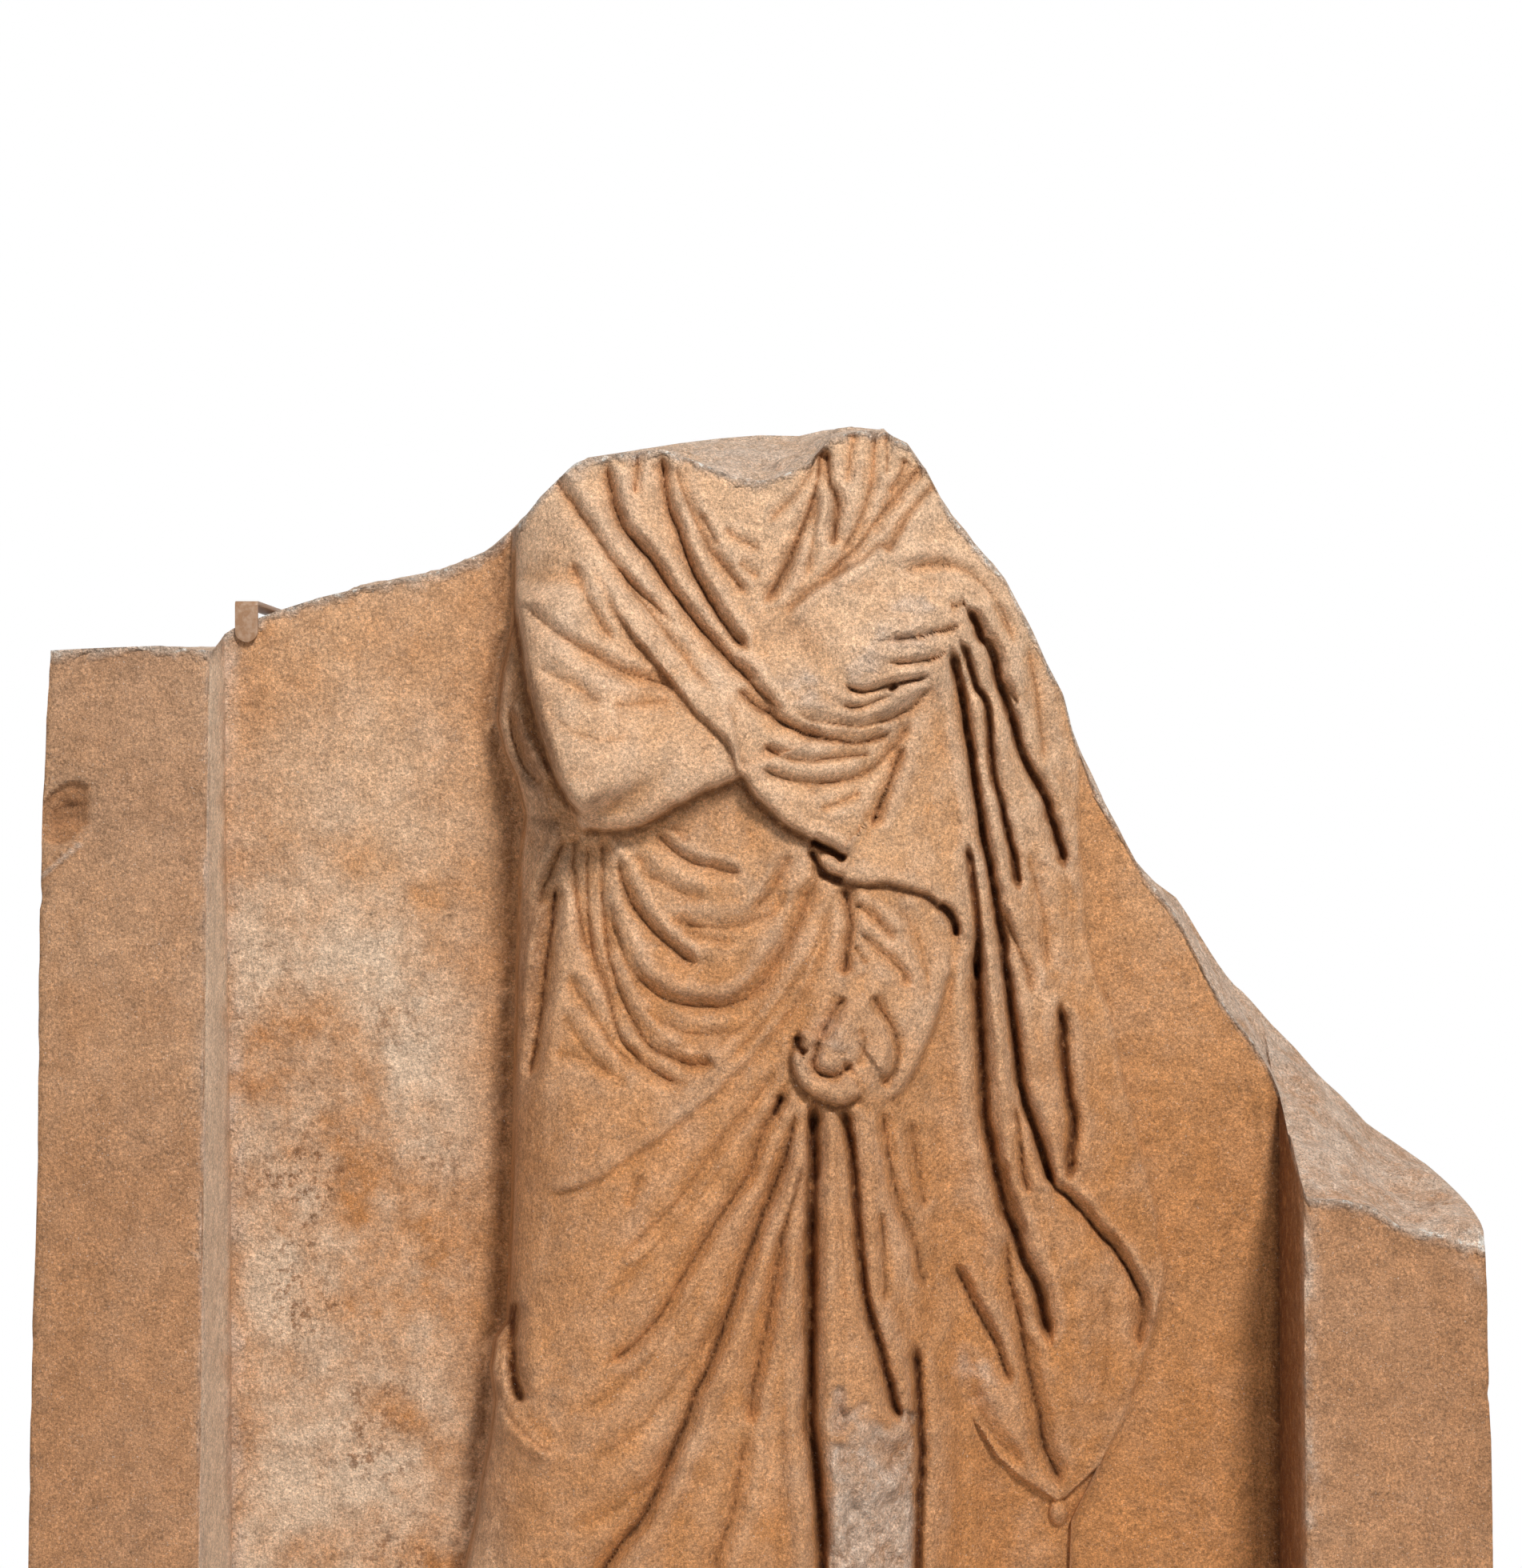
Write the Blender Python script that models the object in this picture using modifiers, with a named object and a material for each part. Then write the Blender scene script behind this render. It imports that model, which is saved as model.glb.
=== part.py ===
"""Fragment of a carved marble grave stele: a draped, headless standing figure between two antae."""

import math

import bmesh
import bpy
import numpy as np

# The stone, in metres.
# The carved figure when it still had its head, soles to crown.
FIGURE_HEIGHT = 1.254
STELE_WIDTH = 1.008
LEFT_ANTA_WIDTH = 0.119
RIGHT_ANTA_WIDTH = 0.134
# Each edge of the slab leans in by this much from the foot to the top of the neck.
EDGE_TAPER = 0.018
LEDGE_HEIGHT = 0.100
LEDGE_PROJECTION = 0.040
LEDGE_ARRIS = 0.005
# How far the panel lies behind the front of the antae, and how much stone is behind it.
PANEL_RECESS = 0.113
PANEL_THICKNESS = 0.100
# The left anta's inner wall opens out by this much towards its foot.
WALL_SPLAY = 0.004
# How far the falling cloth at the right stands out of the panel at its outer edge.
CLOTH_STEP = 0.008
HEM_THICKNESS = 0.007
# How far the body's left contour lies behind the front of the antae.
CONTOUR_DROP = 0.058
FOLD_DEPTH = 0.010
CHIP_DEPTH = 0.012
# How far the broken top dips below a straight line from its front edge to its rear one.
BREAK_DIP = 0.006
# The layout below is read as it looks from this far off.
SIGHT_DISTANCE = 2.3

# The retaining clip, in metres.
CLIP_WIDTH = 0.016
CLIP_THICKNESS = 0.003
CLIP_TONGUE = 0.026
CLIP_HEEL = 0.045
CLIP_BEND = 0.002
CLIP_INSET = 0.003
CLIP_GAP = 0.0004

# The carving is laid out on squares, x to the right and y down, as many to the figure's height as this.
SQUARES = 228.0
AXIS = 95.2
SOLE = 247.0
EYE = 98.0
CROWN = 53.4
SQUARE = FIGURE_HEIGHT / SQUARES
# How many squares the inner edge of each anta drifts outward for each square that it rises.
LEFT_ARRIS_DRIFT = 0.006
RIGHT_ARRIS_DRIFT = 0.012
# The shell-shaped chip in the left anta: how far in from the outer edge, how far down, and its half sizes.
CHIP_INWARD = 2.2
CHIP_DOWN = 101.5
CHIP_HALF_WIDTH = 3.6
CHIP_HALF_HEIGHT = 4.4
# The figure's right side slopes down to the panel over this many squares, and the bed that the tail of the
# falling cloth lies on runs out over this many below its hem.
SIDE_SLOPE = 6.0
BED_RUN = 25.0

DEPTH = PANEL_THICKNESS + PANEL_RECESS + LEDGE_PROJECTION + CLIP_GAP + CLIP_THICKNESS
BACK_Y = DEPTH / 2 - CLIP_GAP - CLIP_THICKNESS
ANTA_Y = BACK_Y - PANEL_THICKNESS - PANEL_RECESS
LEDGE_Y = ANTA_Y - LEDGE_PROJECTION

# Mesh steps across each zone, from the left edge to the right one.
CHIP_STEPS = 2
LEFT_ANTA_STEPS = 1
CLIP_STEPS = 1
PANEL_STEPS = 3
BODY_STEPS = 27
MIDDLE_STEPS = 15
CLOTH_STEPS = 10
RIGHT_STEPS = 3
RIGHT_ANTA_STEPS = 2
ROWS = 74
BREAK_ROWS = 3
REAR_LAND = 0.004
# A fold narrower than the mesh can hold is widened by this many squares and made shallower to match.
MESH_BLUR = 0.9

# Broken upper edge of the front surface, and the crest of the break behind it.
FRONT_EDGE = (
    (4, 81.8), (12, 81), (20, 80.7), (26.6, 81.4), (28.4, 78.9), (34, 76.6), (45, 73.5), (55, 71.4),
    (61, 68.9), (65, 65.4), (70, 59.8), (73.5, 57.3), (83, 56.2), (88, 58), (92, 59.7), (97, 59.8),
    (101, 58), (104, 55), (108, 53.9), (113.5, 55.6), (118.5, 64), (121.5, 67.5), (125.5, 72.2),
    (131, 83), (134.5, 92.6), (138, 100.2), (143, 109.3), (147.5, 115), (152, 124), (157, 130.6),
    (160.3, 138.5), (163.5, 150), (172, 151), (180, 154.5), (187, 156.4),
)
CREST = (
    (4, 81.8), (12, 81), (20, 80.4), (28.4, 78.4), (34, 76.4), (45, 73.4), (55, 71.3), (61, 68.8),
    (65, 65.3), (70, 59.7), (73.5, 57.2), (85, 55.4), (95, 54.4), (107, CROWN), (113.5, 55.4),
    (118.5, 64), (121.5, 67.4), (125.5, 72.1), (131, 83), (134.5, 92.5), (138, 100), (143, 109),
    (148.5, 114), (154, 122.8), (162, 131), (171, 140.5), (182.5, 147.8), (187, 156),
)

# Guides that the mesh columns follow, each as (y, x) pairs from the break down to the soles.
CONTOUR_LEFT = (
    (66, 64.5), (78, 64.4), (84, 63), (90, 62.5), (97, 64.8), (102, 66), (120, 65), (150, 64.4),
    (164, 64), (168, 62), (172, 61.7), (182, 61.2), (190, 59.8), (196, 58.5), (206, 58), (218, 60),
    (232, 65), (247, 67),
)
GUIDE_MIDDLE = (
    (54, 97), (75, 95), (98, 93.2), (107, 102), (121, 101), (139, 101.8), (150, 101.5), (180, 101.5),
    (196, 102.2), (247, 102),
)
GUIDE_CLOTH = (
    (63, 118.2), (80, 119.3), (90, 120.5), (105, 121), (128, 122.6), (139, 123.3), (147, 125),
    (157, 128), (169, 131.5), (180, 129.5), (190, 124.5), (247, 122.5),
)
CONTOUR_RIGHT = (
    (92, 134.5), (117, 136), (135, 140), (150, 144), (159, 145.5), (168, 143.5), (175, 141.2),
    (183, 137.5), (190, 134), (247, 132),
)
BODY_RIGHT = (
    (63, 118), (80, 119.4), (118, 119.5), (130, 118), (142, 117.6), (160, 119), (175, 120.4), (247, 121),
)
TAIL_HEM = (
    (121, 176), (124.5, 182), (128, 184.8), (133, 187.4), (134.5, 186.5), (137.5, 183.2), (141, 176),
)

# The body's front, and its right border, in millimetres in front of the antae.
BODY_FRONT = (
    (54, -24), (62, -13), (72, -6), (86, -2), (100, -4), (112, -11), (126, -5), (142, 0), (162, 3),
    (182, 0), (202, -5), (226, -12), (247, -16),
)
BODY_BORDER = (
    (60, -38), (76, -27), (92, -33), (112, -40), (132, -50), (152, -61), (172, -74), (188, -86), (247, -90),
)

# Rounded masses: x, y, half width, half height, turn in degrees, height in millimetres.
MASSES = (
    (72, 83, 9, 22, 4, 13),
    (77, 96, 13, 9, -12, 15),
    (94, 91, 24, 9, -20, 13),
    (113, 80.5, 11, 8, -12, 14),
    (111, 64, 12, 10, -35, 8),
    (90, 112, 14, 12, 0, 6),
    (79, 166, 17, 44, 4, 13),
    (109, 122, 9.5, 16, 0, 15),
    (106, 131, 7.5, 7.5, 0, 11),
    (108, 172, 6, 40, 0, 10),
    (79, 243, 7.5, 9, 0, 30),
    (104, 243, 8, 9, 0, 34),
)

# Edges of cloth layers: reach, height as a share of the fold depth, then points. The left hand is raised.
EDGES = (
    (10, 1.5, (68, 99), (72, 103.4), (78, 103.8), (85, 100.3), (92.5, 97), (100, 104), (106, 107.8),
     (118, 113)),
    (6, 0.8, (75, 70), (81.5, 82), (88, 89.5), (93, 97)),
    (9, 0.5, (69, 149), (79, 144.5), (87, 138.5), (95, 130), (101, 121.5)),
    (10, 2.2, (65, 77), (65.4, 85), (67, 93), (70, 100), (73, 104)),
    (8, 0.7, (116.5, 61.5), (111, 68), (104.5, 72.2), (97.5, 77.8)),
    (7, 1.3, (109, 138.6), (115, 135), (118.6, 126), (119.3, 116)),
    (5, 1.0, (100, 129), (99.2, 133.5), (103, 137.6), (110, 138.6)),
    (12, 1.2, (62, 214), (76, 224), (90, 231), (104, 236), (116, 232)),
    (5, 0.7, (64, 186), (66, 181), (63.5, 175), (63, 169)),
)

# Valleys between folds: half width, depth as a share of the fold depth, then points.
VALLEYS = (
    (1.0, 0.7, (70.5, 60.5), (77, 70), (85, 78), (89, 80.5)),
    (1.0, 1.0, (76.5, 59), (79, 67), (86.5, 76.5), (96, 85.5)),
    (0.9, 0.9, (83.3, 59), (85, 68), (89, 75), (93.5, 80.5)),
    (0.8, 0.8, (101, 63), (97.5, 72), (94.8, 76)),
    (0.8, 0.7, (103.5, 57.5), (104.8, 63), (104, 69)),
    (0.8, 0.6, (115, 59), (109, 66), (104, 72)),
    (1.1, 0.6, (66, 77), (74, 81), (83, 86)),
    (0.9, 0.9, (92.5, 86.5), (99, 90.5), (105, 93), (110, 92.5)),
    (0.9, 0.7, (90, 81), (98, 88), (106, 90.5), (114, 87.5)),
    (0.9, 0.7, (95, 96.5), (105, 98.2), (113, 94)),
    (0.9, 0.8, (113, 91), (109.8, 101), (108.6, 104)),
    (0.9, 0.8, (110.5, 79.5), (119.5, 78.4)),
    (0.9, 0.8, (106, 85.6), (117, 84.2)),
    (1.2, 1.3, (119.2, 80), (121.5, 95), (124, 109), (126.2, 126), (129, 141), (131.7, 148)),
    (1.1, 1.2, (121, 76), (125, 85), (129, 96), (133, 108)),
    (1.1, 1.2, (121, 105), (122.3, 128), (126.5, 152), (131.8, 169)),
    (1.0, 1.0, (132, 148), (138, 154.5), (142.3, 164)),
    (1.0, 0.8, (132.8, 127), (134, 141), (133.5, 149)),
    (1.0, 0.9, (125.7, 155), (127.2, 165), (130, 180)),
    (1.0, 0.8, (119.5, 158), (123.5, 165.5), (126.5, 173)),
    (1.2, 0.8, (82.5, 104.5), (88, 109), (93, 109.2)),
    (1.2, 0.8, (77.5, 107.5), (81, 116.5), (87, 119.5)),
    (1.3, 1.0, (76, 105), (78, 121), (86, 126), (97, 122.5), (104, 112)),
    (1.2, 0.7, (102, 109), (100, 115), (93, 123)),
    (1.3, 1.0, (73.5, 105), (75.5, 120), (80, 130), (90, 134)),
    (1.2, 0.6, (70, 110), (69, 119), (66.6, 130)),
    (1.1, 0.9, (106, 110.5), (106.2, 117), (105.8, 121)),
    (1.0, 0.8, (106, 125), (102, 132), (104.5, 134.7), (107.5, 132)),
    (1.4, 0.6, (97.5, 132), (88, 146.5), (78, 157)),
    (1.4, 0.9, (98, 135), (93.5, 147), (85, 160.5), (76.5, 170)),
    (1.4, 1.3, (99, 141), (94, 156), (85.5, 179), (75.5, 196), (70, 206)),
    (1.2, 0.9, (99.5, 149), (97, 160), (93.8, 174), (92, 185), (90, 200), (88, 218)),
    (1.3, 1.8, (101.8, 139), (101.5, 160), (101.5, 180), (102.2, 200), (102, 226)),
    (1.1, 1.4, (105.5, 138), (107, 150), (108.5, 163), (112.5, 179)),
    (1.0, 0.9, (110, 138), (112, 149), (115.5, 159)),
    (1.2, 1.3, (114.5, 168), (115.2, 180), (114.8, 200), (115, 222)),
    (1.3, 0.9, (108, 182), (108.5, 200), (108, 226)),
    (1.3, 0.9, (82, 206), (80, 222)),
    (1.1, 0.9, (74, 228), (74, 242)),
    (1.1, 0.9, (85, 233), (85.4, 245)),
    (1.1, 0.9, (92, 235), (92, 246)),
    (1.1, 0.9, (98, 238), (97.6, 246)),
    (1.1, 0.9, (112, 236), (112, 246)),
)

STONE_COLOUR = (0.52, 0.32, 0.19, 1.0)
CLIP_COLOUR = (0.36, 0.22, 0.14, 1.0)


def clear_scene():
    """Takes away whatever the scene opened with."""
    for item in list(bpy.data.objects):
        bpy.data.objects.remove(item, do_unlink=True)


def table(pairs, at):
    """The second of each pair, read off at the first one."""
    knots = np.array(pairs, float)
    return np.interp(at, knots[:, 0], knots[:, 1])


def ease(share):
    """A soft ramp from 0 to 1."""
    held = np.clip(share, 0.0, 1.0)
    return held * held * (3.0 - 2.0 * held)


def quarter(share):
    """A ramp from 0 to 1 that rises like a quarter of an ellipse."""
    return np.sqrt(np.clip(1.0 - (1.0 - np.clip(share, 0.0, 1.0)) ** 2, 0.0, 1.0))


def scale_at(forward):
    """How much wider than the layout a thing is when it lies this far in front of the antae."""
    return 1.0 - forward / SIGHT_DISTANCE


def left_edge(y):
    """The slab's left edge in squares at a height in the layout."""
    lean = EDGE_TAPER * (SOLE - y) / (SOLE - CROWN)
    return AXIS - (STELE_WIDTH / 2 - lean) / SQUARE


def right_edge(y):
    """The slab's right edge in squares at a height in the layout."""
    lean = EDGE_TAPER * (SOLE - y) / (SOLE - CROWN)
    return AXIS + (STELE_WIDTH / 2 - lean) / SQUARE


def left_arris(y):
    """The left anta's inner front edge, in squares."""
    return left_edge(y) + LEFT_ANTA_WIDTH / SQUARE - LEFT_ARRIS_DRIFT * (SOLE - y)


def right_arris(y):
    """The right anta's inner front edge, in squares."""
    return right_edge(y) - RIGHT_ANTA_WIDTH / SQUARE + RIGHT_ARRIS_DRIFT * (SOLE - y)


def chip_border(y):
    """A line down the left anta that keeps its chip beside the outer edge, in squares."""
    return left_edge(y) + CHIP_INWARD + CHIP_HALF_WIDTH


def panel_depth(x, y):
    """How far in front of the antae the panel lies: less than nothing, and shallower at the upper left."""
    left = table(((80, 0.53), (120, 0.76), (150, 0.92), (196, 1.0)), y)
    right = table(((100, 0.9), (150, 0.95), (196, 1.0)), y)
    across = np.clip((x - 28.0) / 132.0, 0.0, 1.0)
    return -PANEL_RECESS * (left + (right - left) * across)


def left_corner(y):
    """The foot of the left anta's inner wall, in squares."""
    depth = panel_depth(28.0, y)
    splay = WALL_SPLAY * np.clip((y - 110.0) / 90.0, 0.0, 1.0)
    return AXIS + ((left_arris(y) - AXIS) + splay / SQUARE + 0.1) / scale_at(depth)


def right_corner(y):
    """The foot of the right anta's inner wall, in squares."""
    depth = panel_depth(160.0, y)
    return AXIS + ((right_arris(y) - AXIS) - 0.1) / scale_at(depth)


def clip_left(y):
    """The left border of the strip of panel under the clip, in squares."""
    return AXIS + (left_corner(y) - AXIS) + CLIP_INSET / SQUARE


def clip_right(y):
    """The right border of the strip of panel under the clip, in squares."""
    return clip_left(y) + (CLIP_WIDTH + 2 * CLIP_GAP) / SQUARE


def guide(pairs, shift=0.0):
    """A column guide that reads a table."""
    return lambda y: table(pairs, y) + shift


def smooth_line(points, steps=6):
    """A curve through the points, as a chain of short straight lengths."""
    knots = np.array(points, float)
    padded = np.vstack([2 * knots[0] - knots[1], knots, 2 * knots[-1] - knots[-2]])
    chain = [knots[0]]
    for first in range(len(knots) - 1):
        a, b, c, d = padded[first:first + 4]
        for step in range(1, steps + 1):
            t = step / steps
            curve = 2 * b + (c - a) * t + (2 * a - 5 * b + 4 * c - d) * t**2 + (3 * b - a - 3 * c + d) * t**3
            chain.append(0.5 * curve)
    return np.array(chain)


def beside(x, y, chain):
    """Signed distance from a chain, left hand positive, and the share of its length."""
    start = chain[:-1]
    run = chain[1:] - start
    length = np.hypot(run[:, 0], run[:, 1])
    reached = np.concatenate([[0.0], np.cumsum(length)])
    off_x = x[..., None] - start[:, 0]
    off_y = y[..., None] - start[:, 1]
    along = np.clip((off_x * run[:, 0] + off_y * run[:, 1]) / length**2, 0.0, 1.0)
    away = np.hypot(off_x - along * run[:, 0], off_y - along * run[:, 1])
    best = np.argmin(away, axis=-1)[..., None]
    side = np.sign(off_x * run[:, 1] - off_y * run[:, 0])
    distance = np.take_along_axis(away * side, best, axis=-1)[..., 0]
    passed = np.take_along_axis(reached[:-1] + along * length, best, axis=-1)[..., 0]
    return distance, passed / reached[-1]


def fade(share):
    """Runs a stroke out softly at both of its ends."""
    return ease(share / 0.16) * ease((1.0 - share) / 0.16)


def body_depth(x, y):
    """The figure's rounded mass without its folds, in metres in front of the antae."""
    left = table(CONTOUR_LEFT, y)
    right = table(BODY_RIGHT, y)
    outer = table(CONTOUR_RIGHT, y)
    front = table(BODY_FRONT, y) / 1000.0
    border = table(BODY_BORDER, y) / 1000.0
    share = (x - left) / (right - left)
    rise_left = quarter(share / 0.27)
    rise_right = np.sin(0.5 * np.pi * np.clip((1.0 - share) / 0.36, 0.0, 1.0))
    body = front - (front + CONTOUR_DROP) * (1.0 - rise_left) - (front - border) * (1.0 - rise_right)
    panel = panel_depth(x, y)
    spread = np.clip((x - right) / (outer - right), 0.0, 1.0)
    cloth = panel + CLOTH_STEP + (border - panel - CLOTH_STEP) * (1.0 - spread**1.5)
    below = y - table(TAIL_HEM, x)
    side = (border - panel) * (1.0 - ease((x - right) / SIDE_SLOPE))
    bed = (cloth - panel - HEM_THICKNESS) * (1.0 - ease(below / BED_RUN))
    ground = panel + np.maximum(side, np.maximum(bed, 0.0))
    return np.where(share < 1.0, body, ground + (cloth - ground) * ease(0.5 - below / 1.2))


def figure_depth(x, y):
    """The figure's carved surface, in metres in front of the antae."""
    depth = body_depth(x, y)
    for mass_x, mass_y, half_width, half_height, turn, height in MASSES:
        angle = math.radians(turn)
        along = (x - mass_x) * math.cos(angle) + (y - mass_y) * math.sin(angle)
        across = (y - mass_y) * math.cos(angle) - (x - mass_x) * math.sin(angle)
        reach = np.clip(1.0 - (along / half_width) ** 2 - (across / half_height) ** 2, 0.0, 1.0)
        depth = depth + height / 1000.0 * reach
    for reach, height, *points in EDGES:
        away, share = beside(x, y, smooth_line(points))
        raised = (0.5 + 0.5 * np.tanh(away / MESH_BLUR)) * np.exp(-((np.maximum(away, 0.0) / reach) ** 2))
        foot = np.exp(-(((away + 0.8) / 0.9) ** 2))
        depth = depth + FOLD_DEPTH * height * fade(share) * (raised - 0.3 * foot)
    for half_width, valley, *points in VALLEYS:
        away, share = beside(x, y, smooth_line(points))
        wide = math.hypot(half_width, MESH_BLUR)
        hollow = np.exp(-((away / wide) ** 2))
        lips = np.exp(-(((np.abs(away) - 1.9 * wide) / wide) ** 2))
        depth = depth - FOLD_DEPTH * valley * half_width / wide * fade(share) * (hollow - 0.3 * lips)
    return np.maximum(depth, panel_depth(x, y))


def zones():
    """Borders of the column zones from left to right, each with its steps up to the next and its surface."""
    return (
        (left_edge, CHIP_STEPS, "anta"),
        (chip_border, LEFT_ANTA_STEPS, "anta"),
        (left_arris, 1, "anta"),
        (left_corner, 1, "panel"),
        (clip_left, CLIP_STEPS, "panel"),
        (clip_right, PANEL_STEPS, "panel"),
        (guide(CONTOUR_LEFT, 0.2), 1, "panel"),
        (guide(CONTOUR_LEFT), BODY_STEPS, "figure"),
        (guide(GUIDE_MIDDLE), MIDDLE_STEPS, "figure"),
        (guide(GUIDE_CLOTH), CLOTH_STEPS, "figure"),
        (guide(CONTOUR_RIGHT), 1, "figure"),
        (guide(CONTOUR_RIGHT, 0.9), RIGHT_STEPS, "panel"),
        (right_corner, 1, "panel"),
        (right_arris, RIGHT_ANTA_STEPS, "anta"),
        (right_edge, 0, "anta"),
    )


def columns():
    """Every mesh column: a guide to its left, one to its right, its share between them, and its surface."""
    found = []
    borders = zones()
    for place, (line, steps, surface) in enumerate(borders):
        onward = borders[place + 1][0] if steps else line
        for step in range(max(steps, 1)):
            # A column on a border takes that border's surface. One between borders takes the deeper one's.
            between = surface
            if step and surface == "anta" and borders[place + 1][2] != "anta":
                between = "panel"
            found.append((line, onward, step / max(steps, 1), between))
    return found


def column_x(column, y):
    """Where a column stands at a height in the layout."""
    line, onward, share, _ = column
    return line(y) + (onward(y) - line(y)) * share


def surface_depth(surface, x, y):
    """How far in front of the antae a surface lies at a place in the layout."""
    if surface == "figure":
        return figure_depth(x, y)
    if surface == "panel":
        return panel_depth(x, y)
    return np.zeros_like(x)


def chip_depth(x, y):
    """The shell-shaped chip out of the left anta's outer edge."""
    across = (x - left_edge(y) - CHIP_INWARD) / CHIP_HALF_WIDTH
    reach = 1.0 - across**2 - ((y - CHIP_DOWN) / CHIP_HALF_HEIGHT) ** 2
    return -CHIP_DEPTH * np.sqrt(np.clip(reach, 0.0, 1.0))


def front_points(rows):
    """Rows of points of the carved front, from the foot of the panel up to the broken edge."""
    grid = []
    for column in columns():
        surface = column[3]
        top = 80.0
        for _ in range(12):
            top = float(table(FRONT_EDGE, column_x(column, top)))
        foot = SOLE
        for _ in range(6):
            at = np.array([column_x(column, foot)])
            depth = surface_depth(surface, at, np.array([foot]))[0]
            foot = EYE + (SOLE - EYE) / scale_at(depth)
        y = foot + (top - foot) * np.linspace(0.0, 1.0, rows + 1)
        x = column_x(column, y)
        depth = surface_depth(surface, x, y)
        if surface == "anta" and column[0] is left_edge:
            depth = depth + chip_depth(x, y)
        scale = scale_at(depth)
        height = LEDGE_HEIGHT + ((SOLE - EYE) + (EYE - y) * scale) * SQUARE
        height[0] = LEDGE_HEIGHT
        grid.append(np.stack([(x - AXIS) * scale * SQUARE, ANTA_Y - depth, height], axis=-1))
    return np.array(grid).swapaxes(0, 1)


def break_points(edge):
    """Rows of points over the broken top, from the front edge back to the rear face."""
    rear = BACK_Y - REAR_LAND
    scale = scale_at(ANTA_Y - rear)
    seen_x = AXIS + edge[:, 0] / (SQUARE * scale)
    crest = LEDGE_HEIGHT + ((SOLE - EYE) + (EYE - table(CREST, seen_x)) * scale) * SQUARE
    share = 0.4 + 0.6 * ease((seen_x - 36.0) / 10.0)
    crest = edge[:, 2] + (crest - edge[:, 2]) * share
    rows = []
    for step in range(1, BREAK_ROWS + 1):
        back = step / BREAK_ROWS
        row = edge.copy()
        row[:, 1] = edge[:, 1] + (rear - edge[:, 1]) * back
        row[:, 2] = edge[:, 2] + (crest - edge[:, 2]) * back
        if step < BREAK_ROWS:
            rough = np.sin(edge[:, 0] * 61.0 + step * 2.1) * np.sin(edge[:, 0] * 23.0 - step)
            away = ease((seen_x - 38.0) / 6.0)
            row[:, 2] -= BREAK_DIP * (0.5 + 0.5 * rough) * away
        rows.append(row)
    return np.array(rows)


def ledge_points(foot):
    """Rows of points up the front of the ledge that the figure stands on."""
    rows = []
    for forward, height in ((0.0, 0.0), (0.0, LEDGE_HEIGHT - LEDGE_ARRIS), (LEDGE_ARRIS, LEDGE_HEIGHT)):
        row = foot.copy()
        row[:, 1] = LEDGE_Y + forward
        row[:, 2] = height
        rows.append(row)
    return np.array(rows)


def grid_points():
    """Every point of the front of the stone, row by row from the underside to the rear of the break."""
    front = front_points(ROWS)
    return np.concatenate([ledge_points(front[0]), front, break_points(front[-1])])


def new_object(name, mesh_builder, colour, roughness, metallic, collection):
    """Puts a built mesh in the scene under its own name and material."""
    mesh = bpy.data.meshes.new(name)
    mesh_builder.to_mesh(mesh)
    mesh_builder.free()
    item = bpy.data.objects.new(name, mesh)
    collection.objects.link(item)
    material = bpy.data.materials.new(name + "_finish")
    material.use_nodes = True
    shader = material.node_tree.nodes["Principled BSDF"]
    shader.inputs["Base Color"].default_value = colour
    shader.inputs["Roughness"].default_value = roughness
    shader.inputs["Metallic"].default_value = metallic
    mesh.materials.append(material)
    return item


def build_stele(collection):
    """The whole stone as one solid: a grid bent to the carved front, drawn back to a flat rear face."""
    points = grid_points()
    tall, wide = points.shape[0] - 1, points.shape[1] - 1
    stone = bmesh.new()
    bmesh.ops.create_grid(stone, x_segments=wide, y_segments=tall, size=1.0)
    for vertex in stone.verts:
        column = round((vertex.co.x + 1.0) / 2.0 * wide)
        row = round((vertex.co.y + 1.0) / 2.0 * tall)
        vertex.co = points[row, column]
    rim = [edge for edge in stone.edges if edge.is_boundary]
    drawn = bmesh.ops.extrude_edge_only(stone, edges=rim)["geom"]
    for vertex in drawn:
        if isinstance(vertex, bmesh.types.BMVert):
            vertex.co.y = BACK_Y
    rear = [edge for edge in stone.edges if edge.is_boundary]
    bmesh.ops.contextual_create(stone, geom=rear)
    bmesh.ops.recalc_face_normals(stone, faces=stone.faces)
    return new_object("stele", stone, STONE_COLOUR, 0.85, 0.0, collection)


def clip_seat():
    """Where the clip sits: its middle, the panel face in front of it, and the top of the stone under it."""
    points = grid_points()
    wide = CHIP_STEPS + LEFT_ANTA_STEPS + 2
    under = points[:, wide:wide + CLIP_STEPS + 1]
    top = under[-BREAK_ROWS - 1:]
    tongue_foot = top[:, :, 2].min() - CLIP_TONGUE
    near = under[(under[:, :, 2] > tongue_foot - 0.02).all(axis=1)]
    middle = under[-1, :, 0].mean()
    return middle, near[:, :, 1].min(), top[:, :, 2].max()


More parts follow.
